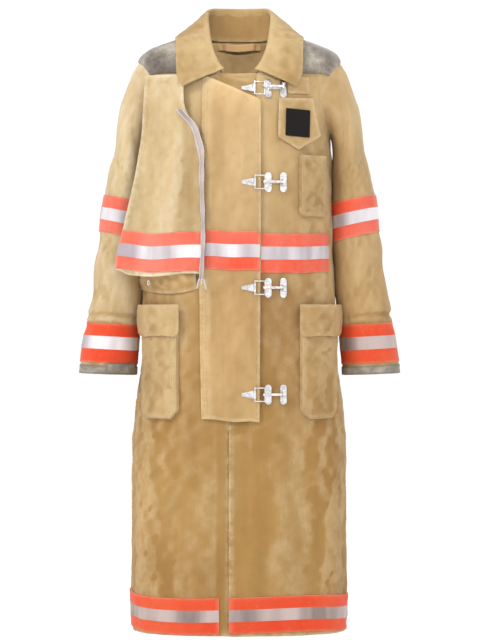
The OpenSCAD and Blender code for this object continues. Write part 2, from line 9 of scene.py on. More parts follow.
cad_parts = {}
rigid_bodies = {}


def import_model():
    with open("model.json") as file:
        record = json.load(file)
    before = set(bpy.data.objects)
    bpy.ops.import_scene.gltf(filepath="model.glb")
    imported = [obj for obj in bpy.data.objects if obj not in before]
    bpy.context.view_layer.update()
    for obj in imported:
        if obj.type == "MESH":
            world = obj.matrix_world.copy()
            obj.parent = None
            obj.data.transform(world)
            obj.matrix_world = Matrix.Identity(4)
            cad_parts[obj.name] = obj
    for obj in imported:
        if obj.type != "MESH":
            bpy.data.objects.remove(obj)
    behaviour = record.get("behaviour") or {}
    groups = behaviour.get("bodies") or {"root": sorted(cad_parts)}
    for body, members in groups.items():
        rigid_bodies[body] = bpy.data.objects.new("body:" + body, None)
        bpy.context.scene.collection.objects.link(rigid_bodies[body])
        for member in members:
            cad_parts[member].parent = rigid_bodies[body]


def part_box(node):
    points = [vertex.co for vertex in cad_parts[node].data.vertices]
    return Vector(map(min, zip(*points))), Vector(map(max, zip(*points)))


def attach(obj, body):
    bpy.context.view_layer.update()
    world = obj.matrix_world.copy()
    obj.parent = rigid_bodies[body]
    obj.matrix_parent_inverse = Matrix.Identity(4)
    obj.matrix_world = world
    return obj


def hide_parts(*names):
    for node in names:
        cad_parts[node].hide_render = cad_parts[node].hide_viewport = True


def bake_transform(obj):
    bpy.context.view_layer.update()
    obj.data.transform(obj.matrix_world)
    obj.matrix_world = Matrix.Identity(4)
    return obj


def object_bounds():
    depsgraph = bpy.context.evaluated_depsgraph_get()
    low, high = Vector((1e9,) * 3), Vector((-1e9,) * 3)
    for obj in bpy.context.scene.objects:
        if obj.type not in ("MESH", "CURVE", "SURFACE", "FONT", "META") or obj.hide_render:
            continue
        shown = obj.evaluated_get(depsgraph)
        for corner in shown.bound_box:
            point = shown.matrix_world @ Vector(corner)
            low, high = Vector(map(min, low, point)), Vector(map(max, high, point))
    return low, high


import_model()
CAD_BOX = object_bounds()

MM = 0.001
# The coat's own heights are measured up from its hem, and its depths from its middle plane
LOOP_Z = 1171.0
LOOP_Y = 52.0


def place(p):
    """A point in the coat's own millimetres, as a point of the frame."""
    return Vector((p[0] * MM, (p[1] - LOOP_Y) * MM, (p[2] - LOOP_Z) * MM))


# ------------------------------------------------------------------ camera, light and stage

VIEW_HEIGHT = 1261.0   # millimetres of the coat's plane that the picture's height takes in
VIEW_MID_Z = 617.0     # height above the hem of the picture's middle
CAMERA_FAR = 5.2       # metres from the coat's middle plane
CAMERA_X = 1.0         # millimetres to the coat's left of its middle
SENSOR = 36.0
LIT_POINT = (0, 0, -0.55)
FLOOR_HALF = 14.0
FLOOR_DROP = 0.06      # metres from the hem down to the floor


def make_camera():
    data = bpy.data.cameras.new("camera")
    data.sensor_width = SENSOR
    data.lens = SENSOR * (CAMERA_FAR - 0.1) / (VIEW_HEIGHT * MM)
    cam = bpy.data.objects.new("camera", data)
    cam.location = place((CAMERA_X, 0.0, VIEW_MID_Z)) + Vector((0, -CAMERA_FAR, 0))
    cam.rotation_euler = (math.radians(90), 0, 0)
    bpy.context.scene.collection.objects.link(cam)
    bpy.context.scene.camera = cam


def add_lamp(name, kind, where, target, power):
    data = bpy.data.lights.new(name, kind)
    data.energy = power
    lamp = bpy.data.objects.new(name, data)
    lamp.location = where
    lamp.rotation_euler = (Vector(target) - Vector(where)).to_track_quat("-Z", "Y").to_euler()
    bpy.context.scene.collection.objects.link(lamp)
    return data


def area_light(name, where, size, power):
    data = add_lamp(name, "AREA", where, LIT_POINT, power)
    data.shape = "DISK"
    data.size = size


def neck_light():
    """A narrow beam that reaches the lining seen through the neck opening."""
    data = add_lamp("neck", "SPOT", (0.0, -3.0, 0.4), (0.0, 0.05, -0.005), 620)
    data.spot_size = math.radians(3.2)
    data.spot_blend = 0.35
    data.shadow_soft_size = 0.12


def make_studio():
    area_light("key", (-2.3, -2.6, 1.9), 1.0, 50)
    area_light("fill", (2.4, -3.0, 0.2), 2.2, 9)
    area_light("top", (0.2, -0.4, 2.4), 2.0, 13)
    area_light("rim", (1.2, 2.6, 0.9), 1.6, 18)
    neck_light()
    world = bpy.data.worlds.new("studio")
    world.use_nodes = True
    back = world.node_tree.nodes["Background"]
    back.inputs["Color"].default_value = (1, 1, 1, 1)
    back.inputs["Strength"].default_value = 1.04
    bpy.context.scene.world = world
    bpy.context.scene.view_settings.view_transform = "Standard"
    low = CAD_BOX[0][2] - FLOOR_DROP
    corners = [(x * FLOOR_HALF, y * FLOOR_HALF, low) for x, y in ((-1, -1), (1, -1), (1, 1), (-1, 1))]
    mesh = bpy.data.meshes.new("floor")
    mesh.from_pydata(corners, [], [(0, 1, 2, 3)])
    floor = bpy.data.objects.new("floor", mesh)
    bpy.context.scene.collection.objects.link(floor)
    mat = bpy.data.materials.new("floor")
    mat.use_nodes = True
    shader = mat.node_tree.nodes["Principled BSDF"]
    shader.inputs["Base Color"].default_value = (0.98, 0.98, 0.98, 1)
    shader.inputs["Roughness"].default_value = 0.9
    mesh.materials.append(mat)


make_camera()
make_studio()

# ------------------------------------------------------------------ the coat's form

# Half widths and half depths of the coat's plan by height, and the neckline's height by angle from the front
WIDTH_ROWS = ((0, 214), (90, 219), (390, 213), (460, 205), (500, 199), (560, 192), (600, 193), (650, 193),
              (720, 187), (800, 183), (980, 181), (1060, 188), (1120, 199), (1136, 200), (1146, 193),
              (1156, 178), (1166, 152), (1176, 122), (1186, 98))
FRONT_ROWS = ((0, 142), (600, 135), (900, 130), (1000, 120), (1060, 107), (1120, 88), (1156, 74), (1186, 62))
BACK_ROWS = ((0, 150), (600, 140), (900, 134), (1000, 126), (1060, 114), (1120, 94), (1156, 78), (1186, 64))
NECK_ROWS = ((0, 1101.5), (12, 1102), (16, 1113), (27, 1150), (49, 1180), (90, 1185), (180, 1182))
PLAN_POWER = 2.5   # 2 is an ellipse, more is squarer
SHOULDER_Z = 1125.0
ARM_MID_Z, ARM_HALF_H, ARM_HALF_D = 1058.0, 76.0, 66.0


def look(v, rows):
    """Straight-line lookup in a table of (place, value)."""
    if v <= rows[0][0]:
        return rows[0][1]
    for (a, x), (b, y) in zip(rows, rows[1:]):
        if v <= b:
            return x + (y - x) * (v - a) / (b - a)
    return rows[-1][1]


def soft_look(v, rows, spread):
    """The same lookup with its corners rounded off."""
    return (look(v - spread, rows) + 2 * look(v, rows) + look(v + spread, rows)) / 4


def spow(v, p):
    return math.copysign(abs(v) ** p, v)


def mix(a, b, t):
    return a + (b - a) * t


def even(start, end, count):
    """Places from start to end in count equal steps."""
    return [mix(start, end, k / count) for k in range(count + 1)]


def smooth(lo, hi, v):
    t = min(max((v - lo) / (hi - lo), 0.0), 1.0)
    return t * t * (3 - 2 * t)


def bump(centre, width, v):
    """A smooth hump of height 1 at centre."""
    return math.exp(-((v - centre) / width) ** 2)


def rough(x, y, z, scale, seed=0.0):
    return noise.noise(Vector((x / scale + seed, y / scale - seed, z / scale + 2 * seed)))


def plain_skin(u, z):
    s, c = math.sin(math.radians(u)), math.cos(math.radians(u))
    wide = soft_look(z, WIDTH_ROWS, 3.0 if z > SHOULDER_Z else 12.0)
    deep = soft_look(z, FRONT_ROWS if c > 0 else BACK_ROWS, 12.0)
    power = 2 / PLAN_POWER
    return Vector((wide * spow(s, power), -deep * spow(c, power), z))


def angle_at(x, z):
    share = min(max(x / look(z, WIDTH_ROWS), -0.9999), 0.9999)
    return math.degrees(math.asin(spow(share, PLAN_POWER / 2)))


def skin_out(u, z):
    along = plain_skin(u + 1.5, z) - plain_skin(u - 1.5, z)
    up = plain_skin(u, z + 4) - plain_skin(u, z - 4)
    return along.cross(up).normalized()


def folds(u, z):
    """How far the cloth of the whole coat stands out or in at a place, in millimetres."""
    p = plain_skin(u, min(z, 1120))
    turn = u % 360
    front = min(turn, 360 - turn)
    calm = smooth(22, 46, front)           # the clasps and the storm flap hold the front flat
    low = smooth(430, 60, z)
    depth = 2.6 * low * (1 - 0.75 * smooth(120, 0, z))
    side = math.sin(math.radians(front * 7 + 40 + 10 * math.sin(z / 170.0))) * depth * (0.35 + 0.65 * calm)
    drape = 3.4 * rough(p.x, p.y, z * 0.28, 62.0, 3.1) * (0.25 + 0.75 * calm)
    crush = 2.6 * rough(p.x, p.y, z * 0.8, 34.0, 8.7) * (0.3 + 0.7 * calm)
    fine = 1.1 * rough(p.x, p.y, z, 16.0, 5.3) * (0.4 + 0.6 * calm)
    fill = 2.5 * bump(90, 26, front) * smooth(985, 930, z) * smooth(640, 700, z)
    armpit = 3.0 * bump(960, 70, z) * math.sin((z + front * 2.6) / 9.5) * bump(84, 18, front) * 0.5
    back = 3.0 * smooth(150, 180, front) * math.sin(math.radians(front * 11)) * smooth(1080, 700, z)
    return side + drape + crush + fine + fill + armpit + 0.5 * back


def skin(u, z, off=0.0):
    return plain_skin(u, z) + skin_out(u, z) * (off + folds(u, z))


def on_front(x, z, off=0.0):
    return skin(angle_at(x, z), z, off)


def arm_gap(z):
    return ARM_HALF_D * math.sqrt(max(0.0, 1 - ((z - ARM_MID_Z) / ARM_HALF_H) ** 2))


def front_end(z):
    return math.degrees(math.acos(min(1.0, (arm_gap(z) / look(z, FRONT_ROWS)) ** (PLAN_POWER / 2))))


def back_end(z):
    return 180 - math.degrees(math.acos(min(1.0, (arm_gap(z) / look(z, BACK_ROWS)) ** (PLAN_POWER / 2))))


# ------------------------------------------------------------------ meshes from grids

def new_piece(name, verts, faces, body, mats, nodes=()):
    mesh = bpy.data.meshes.new(name)
    mesh.from_pydata([tuple(v) for v in verts], [], faces)
    mesh.validate()
    piece = bpy.data.objects.new(name, mesh)
    bpy.context.scene.collection.objects.link(piece)
    for m in mats:
        mesh.materials.append(m)
    mesh.polygons.foreach_set("use_smooth", [True] * len(mesh.polygons))
    if body:
        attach(piece, body)
    if nodes:
        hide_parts(*nodes)
    return piece


def turned(columns, side=1):
    """Columns as rows; on the right side they run the other way, so that the cloth faces outwards."""
    return [list(row) for row in zip(*(columns[::-1] if side < 0 else columns))]


def close_ends(first, count, last, skip=2):
    """Even shares of a side between the closer ones at its two ends."""
    return first + [k / count for k in range(skip, count - skip + 1)] + last


def grid_normals(grid, closed):
    rows, cols = len(grid), len(grid[0])
    out = []
    for r in range(rows):
        line = []
        for c in range(cols):
            if closed:
                a, b = grid[r][(c - 1) % cols], grid[r][(c + 1) % cols]
            else:
                a, b = grid[r][max(c - 1, 0)], grid[r][min(c + 1, cols - 1)]
            low, high = grid[max(r - 1, 0)][c], grid[min(r + 1, rows - 1)][c]
            n = (b - a).cross(high - low)
            line.append(n.normalized() if n.length > 1e-9 else Vector((0, -1, 0)))
        out.append(line)
    return out


RIM_PROUD = 0.45   # how far a rounded edge stands out, as a share of the cloth's thickness


def thick_grid(grid, thick, closed):
    """A grid of outer points in millimetres as a closed sheet with rounded edges: points and faces.

    Each face has its grid row beside it, so a caller can colour by row: -1 is the inside.
    """
    rows, cols = len(grid), len(grid[0])
    normals = grid_normals(grid, closed)
    verts = [place(p) for row in grid for p in row]
    verts += [place(p - n * thick) for row, line in zip(grid, normals) for p, n in zip(row, line)]
    faces, rows_of = [], []

    def at(side, r, c):
        return (side * rows + r) * cols + c % cols

    for r in range(rows - 1):
        for c in range(cols if closed else cols - 1):
            faces.append((at(0, r, c), at(0, r, c + 1), at(0, r + 1, c + 1), at(0, r + 1, c)))
            faces.append((at(1, r, c), at(1, r + 1, c), at(1, r + 1, c + 1), at(1, r, c + 1)))
            rows_of += [r, -1]

    def rim(ring):
        """Joins the two sides round a ring of (edge place, next place in) with a half-round bead."""
        first = len(verts)
        for (r, c), (r_in, c_in) in ring:
            a, b = verts[at(0, r, c)], verts[at(1, r, c)]
            inward = verts[at(0, r_in, c_in)] - a
            push = -inward.normalized() * thick * MM * RIM_PROUD if inward.length > 1e-9 else Vector()
            verts.extend((a.lerp(b, 0.2) + push * 0.75, a.lerp(b, 0.5) + push, a.lerp(b, 0.8) + push * 0.75))
        for i, ((r0, c0), _) in enumerate(ring):
            j = (i + 1) % len(ring)
            r1, c1 = ring[j][0]
            a = [at(0, r0, c0), *range(first + 3 * i, first + 3 * i + 3), at(1, r0, c0)]
            b = [at(0, r1, c1), *range(first + 3 * j, first + 3 * j + 3), at(1, r1, c1)]
            for k in range(4):
                corners = tuple(dict.fromkeys((a[k], a[k + 1], b[k + 1], b[k])))
                if len(corners) > 2:
                    faces.append(corners)
                    rows_of.append(min(r0, r1, rows - 2))

    bottom = [((0, c), (1, c)) for c in range(cols)]
    top = [((rows - 1, c), (rows - 2, c)) for c in reversed(range(cols))]
    if closed:
        rim(bottom)
        rim(top)
    else:
        right = [((r, cols - 1), (r, cols - 2)) for r in range(rows)]
        left = [((r, 0), (r, 1)) for r in reversed(range(rows))]
        rim(bottom + right + top + left)
    return verts, faces, rows_of


# ------------------------------------------------------------------ materials

def hexcol(code):
    """An sRGB hex colour as the linear colour that shaders take."""
    parts = [int(code[i:i + 2], 16) / 255 for i in (0, 2, 4)]
    return [c / 12.92 if c <= 0.04045 else ((c + 0.055) / 1.055) ** 2.4 for c in parts] + [1.0]


def tint(value):
    """A colour from a hex code, a grey or four ready numbers."""
    if isinstance(value, str):
        return hexcol(value)
    return value if isinstance(value, (list, tuple)) else (value, value, value, 1)


class Shade:
    """A principled material with short helpers for its nodes; coordinates are metres of the frame."""

    def __init__(self, name, roughness, metallic=0.0, sheen=0.0, specular=0.3):
        self.mat = bpy.data.materials.new(name)
        self.mat.use_nodes = True
        self.tree = self.mat.node_tree
        self.bsdf = self.tree.nodes["Principled BSDF"]
        self.bsdf.inputs["Roughness"].default_value = roughness
        self.bsdf.inputs["Metallic"].default_value = metallic
        self.bsdf.inputs["Sheen Weight"].default_value = sheen
        self.bsdf.inputs["Specular IOR Level"].default_value = specular
        self.coords = self.tree.nodes.new("ShaderNodeTexCoord").outputs["Object"]

    def node(self, kind, **values):
        made = self.tree.nodes.new(kind)
        for key, value in values.items():
            setattr(made, key, value)
        return made

    def link(self, a, b):
        self.tree.links.new(a, b)

    def stretched(self, scale):
        """Coordinates scaled by a different amount along each axis."""
        mapping = self.node("ShaderNodeMapping")
        mapping.inputs["Scale"].default_value = scale
        self.link(self.coords, mapping.inputs["Vector"])
        return mapping.outputs["Vector"]

    def noise(self, scale, detail=3.0, stretch=(1, 1, 1), rough=0.55):
        made = self.node("ShaderNodeTexNoise")
        made.inputs["Scale"].default_value = scale
        made.inputs["Detail"].default_value = detail
        made.inputs["Roughness"].default_value = rough
        self.link(self.stretched(stretch), made.inputs["Vector"])
        return made.outputs["Fac"]

    def ramp(self, fac, *stops):
        made = self.node("ShaderNodeValToRGB")
        elements = made.color_ramp.elements
        while len(elements) < len(stops):
            elements.new(0.5)
        for element, (where, color) in zip(elements, stops):
            element.position = where
            element.color = tint(color)
        self.link(fac, made.inputs["Fac"])
        return made.outputs["Color"]

    def math(self, how, a, b):
        made = self.node("ShaderNodeMath", operation=how)
        for socket, value in zip(made.inputs, (a, b)):
            if isinstance(value, (int, float)):
                socket.default_value = value
            else:
                self.link(value, socket)
        return made.outputs[0]

    def blend(self, fac, a, b, how="MIX"):
        made = self.node("ShaderNodeMix", data_type="RGBA", blend_type=how)
        if isinstance(fac, (int, float)):
            made.inputs[0].default_value = fac
        else:
            self.link(fac, made.inputs[0])
        for socket, value in ((made.inputs[6], a), (made.inputs[7], b)):
            if isinstance(value, str):
                socket.default_value = tint(value)
            else:
                self.link(value, socket)
        return made.outputs[2]

    def stored(self, name):
        """A value that the meshes carry at their points."""
        return self.node("ShaderNodeAttribute", attribute_name=name).outputs["Fac"]

    def weave(self, pitch):
        """Crossed threads: the warp runs up and the weft runs round the coat."""
        x, y, z = self.axes()
        turns = 2 * math.pi / pitch
        warp = self.math("SINE", self.math("MULTIPLY", self.math("ADD", x, y), turns), 0)
        weft = self.math("SINE", self.math("MULTIPLY", z, turns), 0)
        return self.math("MULTIPLY", warp, weft)

    def axes(self):
        split = self.node("ShaderNodeSeparateXYZ")
        self.link(self.coords, split.inputs[0])
        return split.outputs

    def color(self, value):
        self.link(value, self.bsdf.inputs["Base Color"])

    def rough(self, value):
        self.link(value, self.bsdf.inputs["Roughness"])

    def bump(self, height, distance):
        made = self.node("ShaderNodeBump")
        made.inputs["Distance"].default_value = distance
        made.inputs["Strength"].default_value = 1.0
        self.link(height, made.inputs["Height"])
        self.link(made.outputs["Normal"], self.bsdf.inputs["Normal"])


# How much of each colour is left in the cloth of the skirt and of the waist
SKIRT_DIM, WAIST_DIM = (0.74, 0.64, 0.47), (0.86, 0.78, 0.66)
PER_LENGTH = 0.806   # one over the coat's length in metres
# Dark brown for the dirt marks, and also for the painted shade in the hollows of the folds
GRIME_AND_SHADE = "86683A"


def canvas(name, pale, mid, deep, worn, low=1.0, weave=0.0011, seed=0.0):
    """Washed cotton duck: clouds of fading, dirt marks, rubbed hems, painted highlight on the tops of its
    folds, painted shade in their hollows and a crossed weave.

    low is how much darker and browner the cloth gets towards the skirt.
    """
    s = Shade(name, roughness=0.88, sheen=0.10, specular=0.14)
    clouds = s.noise(3.6 + seed, 4.0, (1, 1, 0.5), 0.6)
    base = s.ramp(clouds, (0.33, deep), (0.50, mid), (0.66, pale))
    # Darker and browner towards the skirt, by height above the hem
    share = s.math("MULTIPLY", s.math("ADD", s.axes()[2], LOOP_Z * MM), PER_LENGTH)
    skirt, waist = ([mix(1.0, c, low) for c in dim] + [1] for dim in (SKIRT_DIM, WAIST_DIM))
    base = s.blend(1.0, base, s.ramp(share, (0.34, skirt), (0.50, waist), (0.66, 1.0)), "MULTIPLY")
    streaks = s.ramp(s.noise(24, 5.0, (1, 1, 0.14), 0.6), (0.36, 0.88), (0.64, 1.08))
    base = s.blend(0.75, base, streaks, "MULTIPLY")
    marks = s.ramp(s.noise(6 + seed, 8.0, (1, 1, 0.45), 0.66), (0.52, 0.0), (0.74, 1.0))
    base = s.blend(s.math("MULTIPLY", marks, 0.20), base, GRIME_AND_SHADE)
    # Painted shade and highlight from the cloth's own shape, in patches: the hollows of folds are darkened
    # and their tops made paler
    ridge = s.stored("ridge")
    fold_shade_patches = s.ramp(s.noise(48, 5.0, (1, 1, 0.7), 0.7), (0.35, 0.25), (0.60, 1.0))
    # proud: painted highlight on the tops of the folds
    proud = s.math("MULTIPLY", s.ramp(ridge, (0.52, 0.0), (0.85, 1.0)), fold_shade_patches)
    # sunk: painted shade in the hollows of the folds
    sunk = s.math("MULTIPLY", s.ramp(ridge, (0.10, 1.0), (0.48, 0.0)), fold_shade_patches)
    base = s.blend(s.math("MULTIPLY", sunk, 0.26), base, GRIME_AND_SHADE)
    base = s.blend(s.math("MULTIPLY", proud, 0.30), base, worn)
    patchy = s.ramp(s.noise(70, 4.0), (0.38, 0.25), (0.60, 1.0))
    base = s.blend(s.math("MULTIPLY", s.math("MULTIPLY", s.stored("wear"), patchy), 0.5), base, worn)
    thread = s.weave(weave)
    base = s.blend(0.12, base, s.ramp(thread, (0.0, 0.78), (1.0, 1.0)), "MULTIPLY")
    s.color(base)
    wrinkle = s.math("MULTIPLY", s.noise(26, 3.0, (1, 1, 0.6), 0.5), 2.2)
    crumple = s.math("ADD", wrinkle, s.math("MULTIPLY", s.noise(95, 6.0, (1, 1, 0.8), 0.6), 1.1))
    s.bump(s.math("ADD", crumple, s.math("MULTIPLY", thread, 0.08)), 0.0018)
    return s.mat


def suede_material():
    s = Shade("suede", roughness=0.93, sheen=0.3, specular=0.12)
    base = s.ramp(s.noise(22, 6.0, (1, 1, 1), 0.7), (0.32, "655D54"), (0.52, "8A8177"), (0.70, "AFA798"))
    rubbed = s.ramp(s.noise(60, 5.0, (0.5, 0.5, 1), 0.7), (0.55, 0.0), (0.70, 1.0))
    base = s.blend(s.math("MULTIPLY", rubbed, 0.4), base, "C4BCA6")
    s.color(s.blend(s.math("MULTIPLY", s.stored("wear"), 0.5), base, "6A6156"))
    s.bump(s.noise(420, 5.0, (1, 1, 1), 0.7), 0.0012)
    return s.mat


def trim_material(name, strong, washed):
    """Coloured woven trim with a fine cross grain and rubbed patches."""
    s = Shade(name, roughness=0.62, sheen=0.05, specular=0.35)
    base = s.ramp(s.noise(9, 4.0, (1, 1, 0.5), 0.6), (0.36, strong), (0.64, washed))
    rubbed = s.ramp(s.noise(150, 5.0, (1, 1, 0.6), 0.7), (0.58, 0.0), (0.75, 1.0))
    base = s.blend(s.math("MULTIPLY", rubbed, 0.22), base, "F2A58E")
    s.color(s.blend(s.math("MULTIPLY", s.stored("wear"), 0.25), base, "FFB496"))
    s.bump(s.math("ADD", s.noise(120, 4.0), s.math("MULTIPLY", s.weave(0.0008), 0.15)), 0.0008)
    return s.mat


def silver_material(name, pale, deep):
    """Retro-reflective tape: glassy grains on grey cloth, brighter and duller in upright patches."""
    s = Shade(name, roughness=0.42, metallic=0.15, specular=0.6)
    base = s.ramp(s.noise(15, 3.0, (1, 1, 0.15), 0.5), (0.36, deep), (0.60, pale))
    worn = s.ramp(s.noise(240, 5.0, (1, 1, 1), 0.75), (0.56, 0.0), (0.72, 1.0))
    s.color(s.blend(s.math("MULTIPLY", worn, 0.30), base, "9A9096"))
    s.rough(s.ramp(s.noise(90, 4.0), (0.35, 0.34), (0.65, 0.56)))
    s.bump(s.noise(1400, 2.0), 0.0003)
    return s.mat


def nickel_material():
    s = Shade("nickel", roughness=0.22, metallic=1.0)
    s.color(s.ramp(s.noise(160, 5.0), (0.35, "C9C6C6"), (0.6, "F2F0F2")))
    s.rough(s.ramp(s.noise(300, 5.0, (1, 1, 1), 0.7), (0.35, 0.14), (0.7, 0.38)))
    s.bump(s.noise(700, 3.0), 0.0001)
    return s.mat


def dark_pile_material():
    s = Shade("hook_pile", roughness=0.95, sheen=0.2, specular=0.1)
    s.color(s.ramp(s.noise(900, 3.0), (0.35, "0B0908"), (0.7, "221D1A")))
    s.bump(s.noise(1600, 3.0), 0.001)
    return s.mat


def thread_material(name, code):
    s = Shade(name, roughness=0.7, sheen=0.1)
    s.color(s.ramp(s.noise(500, 2.0), (0.35, [c * 0.8 for c in hexcol(code)[:3]] + [1]), (0.65, code)))
    s.bump(s.weave(0.0005), 0.0003)
    return s.mat


TAN = canvas("tan_canvas", "D6BC90", "C6A675", "B18D5F", "E2CDA4", low=1.15)
FLAP = canvas("flap_canvas", "D9BE90", "CFAE7E", "BC9765", "E2CDA4", low=0.75, seed=0.9)
PALE = canvas("faded_canvas", "E6D6B8", "D0B88D", "B9996A", "EDE2CA", low=0.9, seed=0.7)
DEEP = canvas("shaded_canvas", "D0B588", "BD9C6C", "A28050", "DAC298", low=0.8, seed=1.3)
POCKET = canvas("pocket_canvas", "CDB488", "BE9F70", "A48455", "D8C298", low=0.2, seed=1.9)
COLLAR = canvas("collar_canvas", "B69D70", "A38354", "876640", "C6B084", low=0.0, seed=0.4)
LINING = canvas("lining_twill", "C7A377", "C09A6C", "B58D60", "C7A377", low=0.0, weave=0.0008)
SUEDE = suede_material()
ORANGE = trim_material("orange_trim", "E23E12", "E1572E")
CORAL = trim_material("washed_orange_trim", "E95232", "E77A66")
SILVER = silver_material("silver_trim", "BDA9A4", "86746F")
BRIGHT = silver_material("bright_silver_trim", "E2DCDE", "A89CA2")
NICKEL = nickel_material()
PILE = dark_pile_material()
THREAD = thread_material("tan_thread", "B08C55")
WHITE = thread_material("white_piping", "F4F1F0")


# ------------------------------------------------------------------ stitches and pieces

def spread(low, high, step):
    """Places from low to high about a step apart, with a closer pair at each end."""
    edge = 2.5
    a, b = low + 2 * edge, high - 2 * edge
    inner = max(2, round(abs(b - a) / step))
    return [low, low + edge] + even(a, b, inner) + [high - edge, high]


def grid_point(grid, r, c):
    """A point of the grid at fractional row and column."""
    r, c = min(max(r, 0), len(grid) - 1.001), min(max(c, 0), len(grid[0]) - 1.001)
    i, j = int(r), int(c)
    low = grid[i][j].lerp(grid[i][j + 1], c - j)
    high = grid[i + 1][j].lerp(grid[i + 1][j + 1], c - j)
    return low.lerp(high, r - i)


def inset_index(points, inset):
    """The fractional index along a line of points that is inset millimetres from its start."""
    run = 0.0
    for i in range(len(points) - 1):
        step = (points[i + 1] - points[i]).length
        if run + step >= inset and step > 1e-6:
            return i + (inset - run) / step
        run += step
    return len(points) - 1.0


def seam_path(grid, side, inset, start=0.0, end=1.0):
    """A line of points along one side of the grid, inset millimetres in from it."""
    rows, cols = len(grid), len(grid[0])
    path = []
    if side in ("left", "right"):
        for r in range(int(start * (rows - 1)), int(end * (rows - 1)) + 1):
            line = grid[r] if side == "left" else grid[r][::-1]
            k = inset_index(line, inset)
            path.append(grid_point(grid, r, k if side == "left" else cols - 1 - k))
    else:
        for c in range(int(start * (cols - 1)), int(end * (cols - 1)) + 1):
            line = [row[c] for row in grid]
            line = line if side == "low" else line[::-1]
            k = inset_index(line, inset)
            path.append(grid_point(grid, k if side == "low" else rows - 1 - k, c))
    return path


STITCH, STITCH_GAP, THREAD_W = 3.2, 1.4, 0.42
# Place along a stitch, height there and share of its width
STITCH_SHAPE = ((0, -0.1, 0.6), (0.9, 0.45, 1), (STITCH - 0.9, 0.45, 1), (STITCH, -0.1, 0.6))


def stitch_mesh(path, outward):
    """Small raised stitches along a path: points in the frame and faces."""
    verts, faces = [], []
    run, want = 0.0, 0.6
    for a, b in zip(path, path[1:]):
        length = (b - a).length
        if length < 1e-6:
            continue
        way = (b - a) / length
        while want + STITCH <= run + length:
            if want >= run:
                start = a + way * (want - run)
                out = outward(start)
                side = way.cross(out).normalized() * THREAD_W
                first = len(verts)
                for along, lift, half in STITCH_SHAPE:
                    mid = start + way * along
                    foot = out * (lift - 0.3)
                    verts += [place(mid - side * half + foot), place(mid + out * lift),
                              place(mid + side * half + foot)]
                for k in range(3):
                    n = first + 3 * k
                    faces += [(n, n + 3, n + 4, n + 1), (n + 1, n + 4, n + 5, n + 2),
                              (n + 2, n + 5, n + 3, n)]
                faces += [(first, first + 1, first + 2), (first + 11, first + 10, first + 9)]
            want += STITCH + STITCH_GAP
        run += length
    return verts, faces


def out_of(grid):
    """The outward direction of the nearest grid cell, as a function for stitches."""
    normals = grid_normals(grid, False)
    flat = [(p, n) for row, line in zip(grid, normals) for p, n in zip(row, line)]
    tree = KDTree(len(flat))
    for i, (p, _) in enumerate(flat):
        tree.insert(p, i)
    tree.balance()
    return lambda p: flat[tree.find(p)[1]][1]


def panel(name, grid, thick, body, mats, nodes, seams=(), paths=(), closed=False, stripes=None,
          wear=7.0):
    """A sewn piece of cloth from a grid of outer points, with its rows of stitches in the same mesh.

    seams are (side, inset) or (side, inset, start, end); paths are ready lines of points on it.
    """
    verts, faces, rows_of = thick_grid(grid, thick, closed)
    lines = [seam_path(grid, *seam) for seam in seams] + list(paths)
    cloth_count, face_count = len(verts), len(faces)
    if lines:
        outward = out_of(grid)
        for line in lines:
            more, sides = stitch_mesh(line, outward)
            shift = len(verts)
            verts += more
            faces += [tuple(i + shift for i in ids) for ids in sides]
    piece = new_piece(name, verts, faces, body, [*mats, THREAD], nodes)
    for i, poly in enumerate(piece.data.polygons):
        if i >= face_count:
            poly.material_index = len(mats)
        elif stripes:
            poly.material_index = stripes(rows_of[i])
    # The ridge values drive the canvas's painted shade in the hollows of folds and its painted highlight on
    # their tops
    store(piece, "ridge", ridges(grid, closed), 0.5, 0.5, cloth_count)
    store(piece, "wear", hem_wear(grid, closed, wear), 1.0, 0.0, cloth_count)
    return piece


def store(piece, name, cloth, edge, stitches, cloth_count):
    """Keeps a value at each point: both sides of the cloth, its rounded edge and the stitches."""
    values = cloth + cloth
    values += [edge] * (cloth_count - len(values))
    values += [stitches] * (len(piece.data.vertices) - len(values))
    piece.data.attributes.new(name, "FLOAT", "POINT").data.foreach_set("value", values)


def hem_wear(grid, closed, reach):
    """How close each point is to a hem: 1 is on it."""
    rows, cols = len(grid), len(grid[0])
    near = []
    for r in range(rows):
        for c in range(cols):
            away = [(grid[r][c] - grid[0][c]).length, (grid[r][c] - grid[rows - 1][c]).length]
            if not closed:
                away += [(grid[r][c] - grid[r][0]).length, (grid[r][c] - grid[r][cols - 1]).length]
            near.append(max(0.0, 1 - min(away) / reach))
    return near


RIDGE_REACH = 13.0   # millimetres over which a fold is told from its surroundings
RIDGE_HEIGHT = 1.5   # height of a fold that counts as fully proud


def ridges(grid, closed):
    """How proud or sunk each point lies in its cloth: 0.5 is level, 1 is the top of a fold."""
    rows, cols = len(grid), len(grid[0])
    normals = grid_normals(grid, closed)
    middle = grid[rows // 2][cols // 2]
    across = max((grid[rows // 2][1 + cols // 2] - middle).length, 0.5)
    up = max((grid[1 + rows // 2][cols // 2] - middle).length, 0.5)
    dc, dr = max(1, round(RIDGE_REACH / across)), max(1, round(RIDGE_REACH / up))
    level = []
    for r in range(rows):
        for c in range(cols):
            a, b = max(r - dr, 0), min(r + dr, rows - 1)
            left, right = max(c - dc, 0), min(c + dc, cols - 1)
            if closed:
                left, right = (c - dc) % cols, (c + dc) % cols
            ends = []
            if b - r == r - a:
                ends.append((grid[a][c] + grid[b][c]) / 2)
            if closed or right - c == c - left:
                ends.append((grid[r][left] + grid[r][right]) / 2)
            away = [(grid[r][c] - e).dot(normals[r][c]) for e in ends]
            most = max(away, key=abs) if away else 0.0
            level.append(min(max(0.5 + 0.5 * (most - 0.35) / RIDGE_HEIGHT, 0.0), 1.0))
    return level


# ------------------------------------------------------------------ body panels

